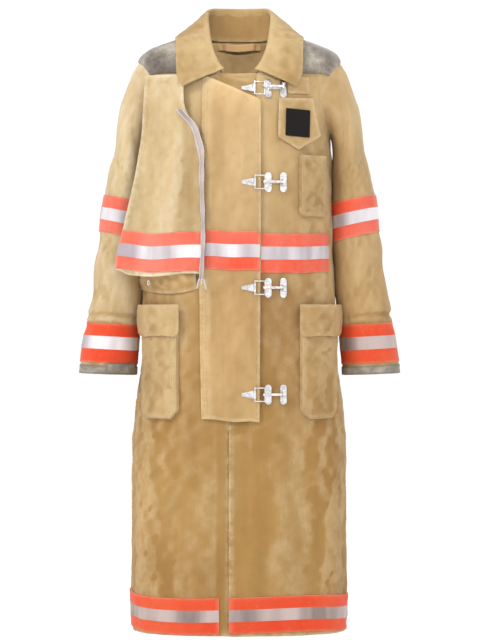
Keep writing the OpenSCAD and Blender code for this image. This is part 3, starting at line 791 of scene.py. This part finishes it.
WALL = 4.0
LAYER = 1.0
TOP_ARM_Z = 1100.0
NECK_STEPS = 12   # rows from the armholes' top up to the neckline


def column_heights(top):
    low = spread(0, TOP_ARM_Z, 8.0)[:-2] + [TOP_ARM_Z]
    return low + even(TOP_ARM_Z, top, NECK_STEPS)[1:]


def front_grid(side, edge_x, edge_lift=0.0):
    """One front panel from its free edge round to the side seam."""
    columns = []
    for f in even(0, 1, 46):
        line = []
        top_u = mix(angle_at(edge_x, SHOULDER_Z), 90, f)
        for z in column_heights(look(abs(top_u), NECK_ROWS)):
            u = mix(angle_at(edge_x, min(z, SHOULDER_Z)), front_end(z), f)
            lift = edge_lift * smooth(0.10, 0.0, f) * smooth(FLAP_Z + 2, FLAP_Z - 38, z)
            line.append(skin(side * u, z, lift))
        columns.append(line)
    return turned(columns, side)


def back_grid():
    columns = []
    for f in even(0, 1, 92):
        top = look(90 + 180 * abs(f - 0.5), NECK_ROWS)
        columns.append([skin(mix(back_end(z), 360 - back_end(z), f), z) for z in column_heights(top)])
    return turned(columns)


HEM_SEAM = ("low", 14)
ARM_SHARE = 0.78   # the side seams end where the armholes begin, this share of the way up
FLAP_Z = 418.0     # height of the storm flap's lower end


def make_body():
    panel("front_right_panel", front_grid(-1, 20.5), WALL, "coat", [TAN], ["front_right"],
          seams=[HEM_SEAM, ("left", 5, 0, ARM_SHARE), ("left", 11, 0, ARM_SHARE)])
    panel("front_left_panel", front_grid(1, -19, edge_lift=4.5), WALL, "coat", [TAN],
          ["front_left"], seams=[("left", 4, 0, 0.4), ("left", 9, 0, 0.4), HEM_SEAM,
                                 ("right", 5, 0, ARM_SHARE), ("right", 11, 0, ARM_SHARE)])
    middle = [skin(180, z, 0.4) for z in range(12, 1160, 6)]
    panel("back_panel_cloth", back_grid(), WALL, "coat", [TAN], ["back_panel"],
          seams=[HEM_SEAM, ("left", 5, 0, ARM_SHARE), ("right", 5, 0, ARM_SHARE)],
          paths=[middle, [p + Vector((7, 0, 0)) for p in middle]])


def make_facing():
    grid = [[on_front(x, z, -WALL - LAYER) for x in spread(-58, 50, 9)] for z in spread(4, 1098, 12)]
    panel("underlap_facing", grid, 2, "coat", [DEEP], ["underlap"], seams=[("right", 5)])


LINING_IN = WALL + 2 * LAYER + 2


def make_lining():
    grid = [[skin(u, z, -LINING_IN) for u in range(0, 360, 4)] for z in spread(20, 970, 14)]
    panel("body_lining_cloth", grid, 2, "coat", [LINING], ["body_lining"], closed=True)


# ------------------------------------------------------------------ storm flap, throat piece

FLAP_SEAM_X, FLAP_EDGE_X = -74.0, 39.0
FLAP_OFF, FLAP_T = 4.0, 4.0


def flap_top(f):
    """The flap's top edge slopes down from its seam to its free edge."""
    return mix(1098, 1048, f)


def flap_point(f, g, off=0.0):
    """f runs across the storm flap from its seam to its free edge, g from the bottom to the top."""
    low = FLAP_Z + 6 * (1 - f) + 1.5 * math.sin(f * 9)
    z = mix(low, flap_top(f), g)
    x = mix(FLAP_SEAM_X + 3.0 * math.sin(z / 150.0), FLAP_EDGE_X - 1.5 * math.sin(z / 210.0), f)
    puff = 0.8 * math.sin(math.pi * f ** 0.8)
    own = 0.7 * rough(x, z, 4, 55.0, 2.2) + 0.35 * rough(x, z * 0.7, 1, 19.0, 6.0)
    sink = -3.2 * smooth(0.07, 0.0, f)
    return on_front(x, z, FLAP_OFF + FLAP_T + off + puff + own + sink)


def make_storm_flap():
    across = close_ends([0, 0.01, 0.025], 24, [0.975, 0.99, 1], skip=1)
    up = close_ends([0, 0.003, 0.007], 92, [0.993, 0.997, 1], skip=1)
    grid = [[flap_point(f, g) for f in across] for g in up]
    fold = [flap_point(f, 1 - 0.018, 0.1) for f in even(0.04, 0.96, 30)]
    panel("storm_flap_cloth", grid, FLAP_T, "coat", [FLAP], ["storm_flap"],
          seams=[("left", 6), ("left", 12), ("right", 5), ("low", 5), ("low", 11)], paths=[fold])


def make_throat():
    def point(x, z):
        crease = 1.1 * math.sin((z + 0.25 * x) / 3.6) * smooth(1064, 1084, z)
        return on_front(x, z, LAYER + 1.8 + crease)
    grid = [[point(x, z) for x in spread(-46, 32, 4)] for z in spread(1036, 1102, 3)]
    panel("throat_cloth", grid, 1.8, "coat", [COLLAR], ["throat_piece"],
          seams=[("high", 4), ("right", 4)])


# ------------------------------------------------------------------ collar

FOLD_LINE = ((0, 52, 1243), (30, 48, 1243), (54, 34, 1240), (63, 8, 1225), (62, -26, 1192),
             (56, -72, 1154), (44, -95, 1124), (33, -103, 1109))
FALL_EDGE = ((0, 84, 1168), (50, 80, 1168), (100, 58, 1172), (121, 20, 1181), (126, -26, 1176),
             (125, -62, 1158), (122, -100, 1100), (111, -109, 1075))
NECK_SEAM = ((0, 54, 1182), (34, 50, 1182), (62, 36, 1184), (76, 8, 1186), (72, -24, 1174),
             (60, -56, 1146), (44, -76, 1122), (33, -86, 1108))
COLLAR_T = 3.2


def curve_through(points, count):
    """A smooth line through points, as count places."""
    pts = [Vector(p) for p in points]
    out = []
    last = len(pts) - 1
    for s in even(0, last, count - 1):
        i = min(int(s), last - 1)
        t = s - i
        a, b, c, d = pts[max(i - 1, 0)], pts[i], pts[i + 1], pts[min(i + 2, last)]
        out.append(0.5 * (2 * b + (c - a) * t + (2 * a - 5 * b + 4 * c - d) * t * t
                          + (3 * b - a - 3 * c + d) * t ** 3))
    return out


def both_sides(line):
    return [(-x, y, z) for x, y, z in line[:0:-1]] + list(line)


COLLAR_COLUMNS = 121


def make_collar():
    """One sheet from the neck seam up the stand, over the fold and down the fall."""
    fold = curve_through(both_sides(FOLD_LINE), COLLAR_COLUMNS)
    edge = curve_through(both_sides(FALL_EDGE), COLLAR_COLUMNS)
    seam = curve_through(both_sides(NECK_SEAM), COLLAR_COLUMNS)
    columns = []
    for c in range(COLLAR_COLUMNS):
        share = abs(c / (COLLAR_COLUMNS - 1) * 2 - 1)
        along = fold[min(c + 1, COLLAR_COLUMNS - 1)] - fold[max(c - 1, 0)]
        out = (fold[c] - edge[c]).cross(along).normalized()
        if out.dot(Vector((fold[c].x, fold[c].y - 10, 30))) < 0:
            out = -out
        line = []
        for t in even(0, 1, 25):
            p = edge[c].lerp(fold[c], t)
            lift = 8.0 + 4.0 * math.sin(math.pi * t) * (1 - 0.4 * share)
            crease = 1.6 * rough(p.x, p.y, p.z, 26.0, 4.0) + 1.0 * rough(p.x, p.y, p.z, 11.0, 9.0)
            pull = 2.2 * bump(0.45, 0.10, t) * bump(0.72, 0.16, share)
            pull *= 1 if c > COLLAR_COLUMNS / 2 else 0.4
            line.append(p + out * (lift + crease * smooth(0, 0.15, t) - pull))
        top = fold[c] + out * 8.0
        inner = fold[c] - out * 0.5
        crown = (top - inner).length / 2
        up = (fold[c] - edge[c]).normalized()
        for a in (30, 60, 90, 120, 150):
            r = math.radians(a)
            line.append(top.lerp(inner, 0.5) + (top - inner).normalized() * crown * math.cos(r)
                        + up * crown * 0.9 * math.sin(r))
        for t in even(0, 1, 14)[1:]:
            p = fold[c].lerp(seam[c], t)
            line.append(p - out * 0.5 * (1 - t) + out * 0.7 * rough(p.x, p.y, p.z, 24.0, 7.0))
        columns.append(line)
    around = [("low", 5), ("left", 5, 0, 0.56), ("right", 5, 0, 0.56)]
    panel("collar", turned(columns, -1), COLLAR_T, "coat", [COLLAR],
          ["collar_fall", "collar_stand"], seams=around, wear=9)


# ------------------------------------------------------------------ hang loop and yokes

def make_hang_loop():
    low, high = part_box("hang_loop")
    half = (high[0] - low[0]) / 2 / MM
    strap = ((-half, 4, 0), (-half + 9, 2.5, 0), (-half + 17, -3.4, -2), (0, -4, -3.5),
             (half - 17, -3.4, -1), (half - 9, 2.5, 0), (half, 4, 0))
    outline = curve_through([(x, LOOP_Y + y, z) for x, y, z in strap], 49)
    grid = [[Vector((p.x, p.y, LOOP_Z + p.z + up)) for p in outline] for up in even(-6.5, 6.5, 8)]
    panel("hang_loop_strap", grid, 2.2, "coat", [LINING], ["hang_loop"],
          seams=[("low", 1.8), ("high", 1.8)], wear=3)


def arm_top_at(u):
    rows = FRONT_ROWS if u < 90 else BACK_ROWS
    y = min(ARM_HALF_D - 0.5, look(1120, rows) * abs(math.cos(math.radians(u))) ** (2 / PLAN_POWER))
    return ARM_MID_Z + ARM_HALF_H * math.sqrt(1 - (y / ARM_HALF_D) ** 2)


def yoke_grid(side):
    columns = []
    for u in even(30, 150, 60):
        tip = 30 * bump(68, 5.5, u) if u < 90 else 30 * bump(112, 5.5, u)
        low = max(1106 - tip, min(arm_top_at(u) - tip, 1134))
        top = min(1174, look(u, NECK_ROWS) - 3)
        columns.append([skin(side * u, z, LAYER + 1.6) for z in even(low, top, 18)])
    return turned(columns, side)


def make_yokes():
    for side, name in ((-1, "right"), (1, "left")):
        panel(f"yoke_{name}_suede", yoke_grid(side), 1.8, "coat", [SUEDE], [f"yoke_{name}"],
              seams=[("low", 3), ("low", 7)], wear=5)


# ------------------------------------------------------------------ cape, pouch and edge tape

CAPE_FRONT_X = ((706, -73), (820, -69), (941, -72), (992, -86), (1034, -110), (1100, -112))
CAPE_SIDE_X = ((706, -242), (735, -245), (800, -229), (900, -206), (980, -193), (1100, -186))
CAPE_SIDE_Y = ((706, -96), (900, -88), (980, -86), (1060, -88), (1080, -83), (1100, -75))
CAPE_FRONT_Y = ((706, -146), (900, -139), (1000, -124), (1060, -112), (1100, -103))
CAPE_T = 2.5


def cape_at(z, f, off=0.0):
    """A point of the cape at height z, a share f of the way from its front edge to its side edge."""
    x = mix(soft_look(z, CAPE_FRONT_X, 14), soft_look(z, CAPE_SIDE_X, 18), f)
    y = mix(soft_look(z, CAPE_FRONT_Y, 14), soft_look(z, CAPE_SIDE_Y, 14), f ** 1.5)
    loose = smooth(1090, 760, z)
    wave = 5.0 * loose * math.sin(f * 8.5 + 0.6 + z / 260.0) * smooth(0, 0.2, f)
    drag = 3.2 * bump(0.16, 0.10, f - (1000 - z) / 1500.0) * bump(880, 110, z)
    crease = 1.6 * rough(x, z * 0.6, 2.0, 30.0, 1.7) + 0.7 * rough(x, z, 5.0, 13.0, 3.9)
    return Vector((x, y - CAPE_T - off - wave - crease + drag, z))


CAPE_LOW, CAPE_TOP = 706, 1100


def cape_hem(f):
    return CAPE_LOW + 3.0 * math.sin(f * 7 + 0.5) + 8.0 * smooth(0.85, 1.0, f)


def make_cape():
    shares = close_ends([0, 0.012, 0.03], 34, [0.97, 0.988, 1])[::-1]
    rises = close_ends([0, 0.006, 0.014], 60, [0.985, 0.993, 1])
    grid = [[cape_at(mix(cape_hem(f), CAPE_TOP, g), f) for f in shares] for g in rises]
    panel("cape_cloth", grid, CAPE_T, "coat", [PALE], ["cape_panel"],
          seams=[("left", 5), ("left", 10), ("low", 4)], wear=8)


BAND_H, BAND_T = 76.0, 1.2
BAND_EDGE = 7   # grid rows in one stripe
BAND_SEAMS = (0.02, 0.325, 0.34, 0.66, 0.675, 0.98)
CHEST_BAND_Z = 712.0


def band(name, point, across, body, mats, nodes, closed=False):
    """A three-stripe trim: point(a, share, off) gives its surface at a place across and up it."""
    grid = []
    for k in range(3 * BAND_EDGE + 1):
        proud = 0.7 if BAND_EDGE <= k <= 2 * BAND_EDGE else 0.0
        grid.append([point(a, k / (3 * BAND_EDGE), BAND_T + proud) for a in across])
    ring = [*across, across[0]] if closed else across
    paths = [[point(a, share, BAND_T + 0.3) for a in ring] for share in BAND_SEAMS]
    return panel(name, grid, BAND_T, body, mats, nodes, closed=closed, paths=paths,
                 stripes=lambda row: 1 if BAND_EDGE <= row < 2 * BAND_EDGE else 0, wear=4)


def chest_z(share):
    return CHEST_BAND_Z + BAND_H * share


def make_chest_bands():
    def on_cape(f, share, off):
        sag = 5.0 * smooth(0.55, 1.0, f) + 2.0 * math.sin(f * 7 + 0.5)
        return cape_at(chest_z(share) + sag * (1 - 0.2 * share), f, LAYER / 2 + off)

    def on_flap(f, share, off):
        z = chest_z(share) + 1.5
        return flap_point(f, (z - FLAP_Z) / (flap_top(f) - FLAP_Z), LAYER / 2 + off)

    def on_left(x, share, off):
        return on_front(x, chest_z(share) - 2 + 3 * smooth(120, 175, x), LAYER + off)

    def on_rear(u, share, off):
        return skin(u, chest_z(share), LAYER + off)

    for name, point, across, mats in (
            ("cape", on_cape, even(1, 0.025, 39) + [0.012], [CORAL, BRIGHT]),
            ("flap", on_flap, even(0.004, 0.994, 24), [CORAL, BRIGHT]),
            ("left", on_left, spread(FLAP_EDGE_X + 2, 174, 5), [CORAL, BRIGHT]),
            ("back", on_rear, even(92, 268, 76), [ORANGE, SILVER])):
        band(f"chest_band_{name}_trim", point, across, "coat", mats, [f"chest_band_{name}"])


HEM_GAP, HEM_H = 4.0, 70.0


def make_hem_bands():
    def hem(u, share, off):
        low = HEM_GAP + 3 * math.sin(math.radians(u * 3))
        return skin(u, low + HEM_H * share, LAYER + off)

    def lapped(u, share, off):
        return hem(u, share, off + 4.5 * smooth(4, -2, u))

    for name, point, turns in (("right", hem, even(-89, -7, 44)), ("left", lapped, even(-3, 89, 50)),
                               ("back", hem, even(91, 269, 86))):
        band(f"hem_band_{name}_trim", point, turns, "coat", [ORANGE, SILVER], [f"hem_band_{name}"])


def make_pouch():
    """A soft bag that bulges out from under the cape's hem."""
    def point(f, g):
        z = mix(669 + 9 * (2 * f - 1) ** 2, 760, g)
        x = -mix(192, 84, f)
        round_in = math.sin(math.pi * mix(0.05, 0.95, f)) ** 0.5 * math.sin(math.radians(mix(10, 95, g)))
        swell = (19 + 7 * bump(0.2, 0.3, g)) * round_in
        pucker = mix(5.0, 2.0, g) * rough(x, z, 1.0, 15.0, 2.0)
        pucker += 2.5 * math.sin(f * 17 + 5 * g) * smooth(0.2, 0.8, g)
        return on_front(x, z, 1.5 + swell + pucker * smooth(0, 0.25, g))
    grid = [[point(f, g) for f in even(0, 1, 30)] for g in even(0, 1, 24)]
    panel("pouch_cloth", grid, 2.5, "coat", [TAN], ["pouch"], seams=[("low", 4), ("low", 8)])


TAPE_W = 15.0
TAPE_LOW, TAPE_TOP = 696, 1030


def tape_point(z, s, off):
    """The tape's surface at height z and share s across it; it turns a little as it runs down."""
    twist = 0.8 * math.sin(z / 19.0) * smooth(TAPE_TOP, 960, z)
    wave = 1.6 * math.sin(z / 37.0)
    base = cape_at(z, 0, BAND_T + 2 * LAYER + off)
    width = TAPE_W * mix(0.62, 1.0, smooth(860, 980, z))
    hook = 9.0 * smooth(985, TAPE_TOP, z) ** 2
    return base + Vector((width * s * math.cos(twist) - 2 + wave - hook,
                          -abs(width * s * math.sin(twist)) * 0.6, 0))


def make_edge_tape():
    heights = even(TAPE_LOW, TAPE_TOP, 100)
    across = (-0.5, -0.44, -0.36, -0.30, -0.2, -0.07, 0.07, 0.2, 0.30, 0.36, 0.44, 0.5)
    raised = (0.6, 1.6, 1.6, 0.7, 0.4, 0.35, 0.35, 0.4, 0.7, 1.6, 1.6, 0.6)
    grid = [[tape_point(z, s, 0.8 + lift) for s, lift in zip(across, raised)] for z in heights]
    piece = panel("edge_tape_strip", grid, 1.0, "coat", [WHITE, SILVER], ["edge_tape"], wear=0.01)
    cols = len(across)
    for poly in piece.data.polygons:
        ids = [i for i in poly.vertices if i < len(grid) * cols]
        if len(ids) == 4 and all(3 <= i % cols <= 8 for i in ids):
            poly.material_index = 1
    ends = []
    for dx, drop, lean in ((-4, 20, -4), (1, 12, 0), (5, 22, 5)):
        top = tape_point(698, 0, 1.2) + Vector((dx, 0, 0))
        ends.append([top + Vector((lean * t, -1.0 - 3 * t * (1 - t), -drop * t))
                     for t in (0, 0.3, 0.6, 0.85, 1)])
    for i, path in enumerate(ends, 1):
        tube_piece(f"tape_tail_{i}", path, 1.5, "coat", WHITE)


TUBE_SIDES, TUBE_END = 10, 0.45


def tube_piece(name, path, radius, body, mat):
    """A round tube along a smooth path in millimetres, narrowed at both ends."""
    line = curve_through(path, 4 * len(path))
    verts, faces = [], []
    for i, p in enumerate(line):
        way = (line[min(i + 1, len(line) - 1)] - line[max(i - 1, 0)]).normalized()
        a = way.cross(Vector((0, 1, 0.1))).normalized()
        b = way.cross(a)
        r = radius * (TUBE_END if i in (0, len(line) - 1) else 1)
        for k in range(TUBE_SIDES):
            t = 2 * math.pi * k / TUBE_SIDES
            verts.append(place(p + (a * math.cos(t) + b * math.sin(t)) * r))
    for i in range(len(line) - 1):
        for k in range(TUBE_SIDES):
            a, b = i * TUBE_SIDES + k, i * TUBE_SIDES + (k + 1) % TUBE_SIDES
            faces.append((a, a + TUBE_SIDES, b + TUBE_SIDES, b))
    faces.append(tuple(range(TUBE_SIDES)))
    faces.append(tuple(reversed(range(len(verts) - TUBE_SIDES, len(verts)))))
    return new_piece(name, verts, faces, body, [mat])


# ------------------------------------------------------------------ pockets, flaps and tab

POCKET_IN_X, POCKET_OUT_X, POCKET_DEPTH = 118.0, 185.0, 14.0
POCKET_Z, POCKET_TOP = 422.0, 625.0
FLAP_TOP, FLAP_H = 649.0, 65.0


def rounded(d, radius):
    """How far an edge is drawn in at distance d from the end of a rounded corner."""
    return radius - math.sqrt(max(0.0, radius ** 2 - (radius - d) ** 2)) if d < radius else 0.0


def pocket_grid(side, x0, x1, z0, z1, depth, corner, seed):
    """A bellows pocket: its sides and bottom rise steeply from the coat to a soft front."""
    rise = (0.0, 0.35, 0.7, 0.92, 1.0)
    shares = close_ends([0.0, 0.006, 0.014, 0.024, 0.045], 20, [0.955, 0.976, 0.986, 0.994, 1.0])
    ups = [0.0, 0.004, 0.009, 0.016, 0.03] + [k / 36 for k in range(2, 36)] + [0.99, 1.0]
    grid = []
    for j, g in enumerate(ups):
        z = mix(z0, z1, g)
        draw = max(0.0, corner - (z - z0))
        row = []
        for i, f in enumerate(shares):
            edge = min(i, len(shares) - 1 - i, j, 4)
            x = mix(x0 + draw * 0.9, x1 - draw * 0.5, f)
            soft = 2.4 * rough(x, z * 0.7, seed, 24.0, seed) + 1.0 * rough(x, z, seed, 10.0, seed + 3)
            sag = 1.5 * math.sin(math.pi * f) * math.sin(math.pi * g)
            row.append(skin(side * angle_at(x, z), z, LAYER + (depth - LAYER) * rise[edge]
                            + (soft + sag) * (edge == 4)))
        grid.append(row[::-1] if side < 0 else row)
    return grid


def make_pockets():
    for side, name, mat in ((-1, "right", POCKET), (1, "left", DEEP)):
        inner, outer = ("right", "left") if side < 0 else ("left", "right")
        grid = pocket_grid(side, POCKET_IN_X, POCKET_OUT_X, POCKET_Z, POCKET_TOP, POCKET_DEPTH, 18,
                           2.0 + side)
        panel(f"pocket_{name}_bag", grid, 2, "coat", [mat], [f"pocket_{name}"],
              seams=[(inner, 17), (inner, 22), (outer, 17), ("low", 17), ("low", 22), ("high", 4)], wear=20)
        make_pocket_flap(side, name, mat)
    grid = pocket_grid(1, 116, 166, 819, 940, 12, 8, 6.0)
    panel("radio_pocket_bag", grid, 2, "coat", [DEEP], ["radio_pocket"],
          seams=[("left", 14), ("high", 4), ("high", 9), ("low", 14)], wear=16)


def make_pocket_flap(side, name, mat):
    off = POCKET_DEPTH + 2 * LAYER + 3

    def point(f, g):
        z = mix(FLAP_TOP - FLAP_H, FLAP_TOP - 3, g) + 3 * math.sin(math.pi * f) * (1 - g)
        draw = rounded(g * FLAP_H, 12)
        x = mix(POCKET_IN_X - 4 + draw, POCKET_OUT_X + 1 - draw, f)
        curl = 3.0 * bump(0.0, 0.25, g) * math.sin(math.pi * f) - 2.5 * smooth(0.8, 1, g)
        own = 1.3 * rough(x, z, side * 3.0, 18.0, 5.5) + 0.5 * rough(x, z, side, 8.0, 2.5)
        return skin(side * angle_at(x, z), z, off + curl * 0.6 + own)

    shares = close_ends([0, 0.015, 0.04], 22, [0.96, 0.985, 1])[::side]
    ups = close_ends([0, 0.02, 0.05], 16, [0.95, 0.98, 1])
    grid = [[point(f, g) for f in shares] for g in ups]
    panel(f"pocket_flap_{name}_cloth", grid, 3, f"pocket_flap_{name}", [mat],
          [f"pocket_flap_{name}"], seams=[("low", 4), ("low", 9), ("left", 4), ("right", 4)], wear=7)


TAB_PIVOT, TAB_TURN, TAB_TILT = Vector((116, -96, 1060)), math.radians(20), math.radians(6.5)
TAB_T = 3.0


def tab_place(x, out, z):
    """A point of the tab's own frame: x across it, out from it and z up it."""
    y = -out * math.cos(TAB_TILT) + z * math.sin(TAB_TILT)
    up = z * math.cos(TAB_TILT) + out * math.sin(TAB_TILT)
    across = Vector((x * math.cos(TAB_TURN) - y * math.sin(TAB_TURN),
                     x * math.sin(TAB_TURN) + y * math.cos(TAB_TURN), up))
    return TAB_PIVOT + across


def make_tab():
    def point(f, g):
        x = mix(mix(-46, -40, g), mix(42, 30, g), f)
        z = mix(mix(-108, -81, abs(f - 0.47) / 0.53), -7, g)
        soft = 1.2 * rough(x, z, 3.3, 22.0, 7.7) + 0.5 * rough(x, z, 3.3, 9.0, 1.7)
        curl = 2.0 * bump(0, 0.2, g) * abs(f - 0.5) * 2
        return tab_place(x, TAB_T + (soft + curl) * smooth(1.0, 0.85, g), z)
    shares = close_ends([0, 0.02, 0.045], 24, [0.955, 0.98, 1])
    ups = close_ends([0, 0.015, 0.035], 26, [0.97, 0.985, 1])
    grid = [[point(f, g) for f in shares] for g in ups]
    panel("mic_tab_cloth", grid, TAB_T, "mic_tab", [TAN], ["mic_tab"],
          seams=[("left", 4), ("right", 4), ("low", 4), ("left", 8), ("right", 8), ("low", 8)], wear=8)
    strap = [[on_front(x, z, LAYER + 3) for x in spread(96, 136, 5)] for z in spread(1064, 1096, 5)]
    panel("tab_strap_cloth", strap, 3, "coat", [TAN], ["tab_strap"],
          seams=[("left", 4), ("right", 4)])
    turn = math.radians(4)

    def pile(i, j):
        x, z = mix(-25, 25, i / 30), mix(-27, 27, j / 32)
        rag = 0.35 * rough(i * 3.0, j * 3.0, 0, 2.7, 3.0)
        return tab_place(x * math.cos(turn) + z * math.sin(turn) - 5, TAB_T + 2.2 + rag,
                         z * math.cos(turn) - x * math.sin(turn) - 56)
    grid = [[pile(i, j) for i in range(31)] for j in range(33)]
    panel("hook_patch_pile", grid, 1.2, "mic_tab", [PILE], ["hook_patch"],
          seams=[("left", 2), ("right", 2), ("low", 2), ("high", 2)], wear=1)


# ------------------------------------------------------------------ sleeves

SLEEVE_ROWS = (((203, 1131), (186, 986), 66), ((222, 1101), (187, 970), 68), ((238, 1040), (188, 945), 68),
               ((252, 960), (189, 915), 66), ((262, 910), (190, 882), 63), ((271, 867), (190, 851), 61),
               ((281, 795), (191, 775), 58), ((289, 730), (194, 715), 56), ((301, 640), (199, 632), 54),
               ((306, 612), (200, 606), 54), ((313, 575), (203, 569), 53), ((318, 535), (206, 529), 52),
               ((321, 512), (207, 508), 52))
SLEEVE_Y = -4.0
SLEEVE_WALL = 3.0


def sleeve_row(v):
    i = min(int(v), len(SLEEVE_ROWS) - 2)
    f = v - i
    (outer, inner, depth), (outer_2, inner_2, depth_2) = SLEEVE_ROWS[i], SLEEVE_ROWS[i + 1]
    return Vector(outer).lerp(outer_2, f), Vector(inner).lerp(inner_2, f), mix(depth, depth_2, f)


def arm_folds(v, t, low_seed):
    """Wrinkles of the sleeve: slanting drags below the shoulder, stacked crescents towards the cuff."""
    turn = math.radians(t)
    z = 1131 - v * 52
    drag = 3.4 * bump(2.6, 1.5, v) * math.sin(v * 3.1 + 1.7 * math.cos(turn + 0.5))
    elbow = 2.6 * bump(7.2, 1.6, v) * math.sin(v * 4.4 + 2.4 * math.cos(turn - 0.4) + low_seed)
    stack = 1.8 * bump(8.6, 0.9, v) * math.sin(v * 8.0 + 1.5 * math.sin(turn))
    crush = 2.2 * rough(60 * math.cos(turn), 60 * math.sin(turn), z * 0.7, 38.0, 2.0 + low_seed)
    fine = 0.8 * rough(60 * math.cos(turn), 60 * math.sin(turn), z, 14.0, 6.0 + low_seed)
    calm = smooth(12.2, 11.2, v) * 0.75 + 0.25
    return (drag + elbow + stack + crush + fine) * calm


def sleeve_at(v, t, off, low_seed=0.0):
    """A point of the left sleeve: v runs down its rows, t turns from the top over the front."""
    outer, inner, depth = sleeve_row(v)
    mid, across = (outer + inner) / 2, outer - inner
    half = across.length / 2
    across = across / (2 * half)
    c, s = math.cos(math.radians(t)), math.sin(math.radians(t))
    press = 5.0 * max(0.0, -c) ** 2 * smooth(0.8, 2.4, v) * smooth(9.0, 7.4, v)
    grow = off + press + arm_folds(v, t, low_seed) * smooth(0.2, 1.4, v) * (1 - 0.7 * max(0.0, -c))
    edge = mid + across * (half + grow) * c
    return Vector((edge.x, SLEEVE_Y - (depth + grow) * s, edge.y))


def armhole_at(t, off):
    """A point of the armhole's edge on the body, at the same turn as the sleeve."""
    z = ARM_MID_Z + (ARM_HALF_H - 1) * math.cos(math.radians(t))
    u = front_end(z) if t % 360 < 180 else back_end(z)
    return skin(u, z, off)


def arm_point(v, t, off, low_seed=0.0):
    """The sleeve's surface, eased at the top into the armhole's edge."""
    free = sleeve_at(v, t, off, low_seed)
    share = smooth(1.7, 0.0, v)
    return free.lerp(armhole_at(t, off * 0.5), share) if share > 0 else free


def to_side(side, p):
    return Vector((side * p.x, p.y, p.z))


def mirrored(grid):
    return [[to_side(-1, p) for p in reversed(row)] for row in grid]


ARM_TURNS = 72


def sleeve_grid(side, rows, off, low_seed):
    """Rows run up the arm; columns run round it so that the cloth faces outwards."""
    turns = [-360 * k / ARM_TURNS for k in range(ARM_TURNS)]
    grid = [[arm_point(v, t % 360, off, low_seed) for t in turns] for v in rows]
    return mirrored(grid) if side < 0 else grid


def ride_arm(piece, side, name):
    """Bakes the piece's placement into its points."""
    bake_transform(piece)


def make_sleeves():
    for side, name, mat, low_seed in ((-1, "right", PALE, 0.0), (1, "left", DEEP, 2.3)):
        body = f"sleeve_{name}"
        rows = [12.0, 11.98, 11.95] + even(11.9, 0.12, 118) + [0.06, 0.02, 0.0]
        grid = sleeve_grid(side, rows, 0.0, low_seed)
        seam = [to_side(side, arm_point(v, 196, 0.2, low_seed)) for v in even(11.9, 0.3, 90)]
        beside = [p + Vector((0, 5, 0)) for p in seam]
        piece = panel(f"{body}_cloth", grid, SLEEVE_WALL, None, [mat], [body], closed=True,
                      paths=[seam, beside], wear=10)
        ride_arm(piece, side, name)
        inner = sleeve_grid(side, even(11, 1, 60), -SLEEVE_WALL - LAYER, low_seed)
        lining = panel(f"sleeve_lining_{name}_cloth", inner, 2, None, [LINING],
                       [f"sleeve_lining_{name}"], closed=True)
        ride_arm(lining, side, name)
        make_arm_trim(side, name, low_seed)


UPPER_BAND, CUFF_BAND, BINDING = (6.0, 5.0), (11.0, 9.0), (12.0, 11.3)


def make_arm_trim(side, name, low_seed):
    body = f"sleeve_{name}"

    def on_arm(low, high):
        def point(t, share, off):
            return to_side(side, arm_point(mix(low, high, share), t % 360, LAYER * 0.6 + off, low_seed))
        return point

    turns = [-side * 360 * k / ARM_TURNS for k in range(ARM_TURNS)]
    for kind, rows, mats in (("upper", UPPER_BAND, [CORAL, BRIGHT]),
                             ("cuff", CUFF_BAND, [ORANGE, BRIGHT if side < 0 else SILVER])):
        band(f"{kind}_band_{name}_trim", on_arm(*rows), turns, body, mats, [f"{kind}_band_{name}"],
             closed=True)
    point = on_arm(*BINDING)
    grid = [[point(t, share, 1.2 + 0.4 * rough(t, share * 9, 0, 3.0)) for t in turns]
            for share in (0, 0.06, 0.16, 0.3, 0.45, 0.6, 0.75, 0.88, 0.96, 1)]
    panel(f"cuff_binding_{name}_suede", grid, 1.4, body, [SUEDE], [f"cuff_binding_{name}"],
          closed=True, paths=[[point(t, 0.86, 1.4) for t in turns + turns[:1]]], wear=4)


def make_cuff_tab():
    turns = even(150, 90, 20)
    grid = [[sleeve_at(v, t, 5.6 + 0.4 * rough(t / 3, v * 9, 1, 3.0)) for t in turns]
            for v in even(11.9, 11.05, 10)]
    panel("cuff_tab_suede", mirrored(grid), 2.0, "cuff_tab", [SUEDE], ["cuff_tab"],
          seams=[("low", 2), ("high", 2), ("left", 2), ("right", 2)], wear=3)


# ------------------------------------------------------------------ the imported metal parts

def colour_metal():
    """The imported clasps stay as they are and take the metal's material."""
    metal = ("clasp_rivets", "dee_plate", "dee_ring", "hook_base", "hook_lever", "pouch_eyelet")
    for piece in bpy.data.objects:
        if piece.type == "MESH" and piece.name.startswith(metal):
            piece.data.materials.clear()
            piece.data.materials.append(NICKEL)


# ------------------------------------------------------------------ the whole coat

make_body()
make_facing()
make_lining()
make_storm_flap()
make_throat()
make_collar()
make_hang_loop()
make_yokes()
make_cape()
make_chest_bands()
make_hem_bands()
make_pouch()
make_edge_tape()
make_pockets()
make_tab()
make_sleeves()
make_cuff_tab()
colour_metal()
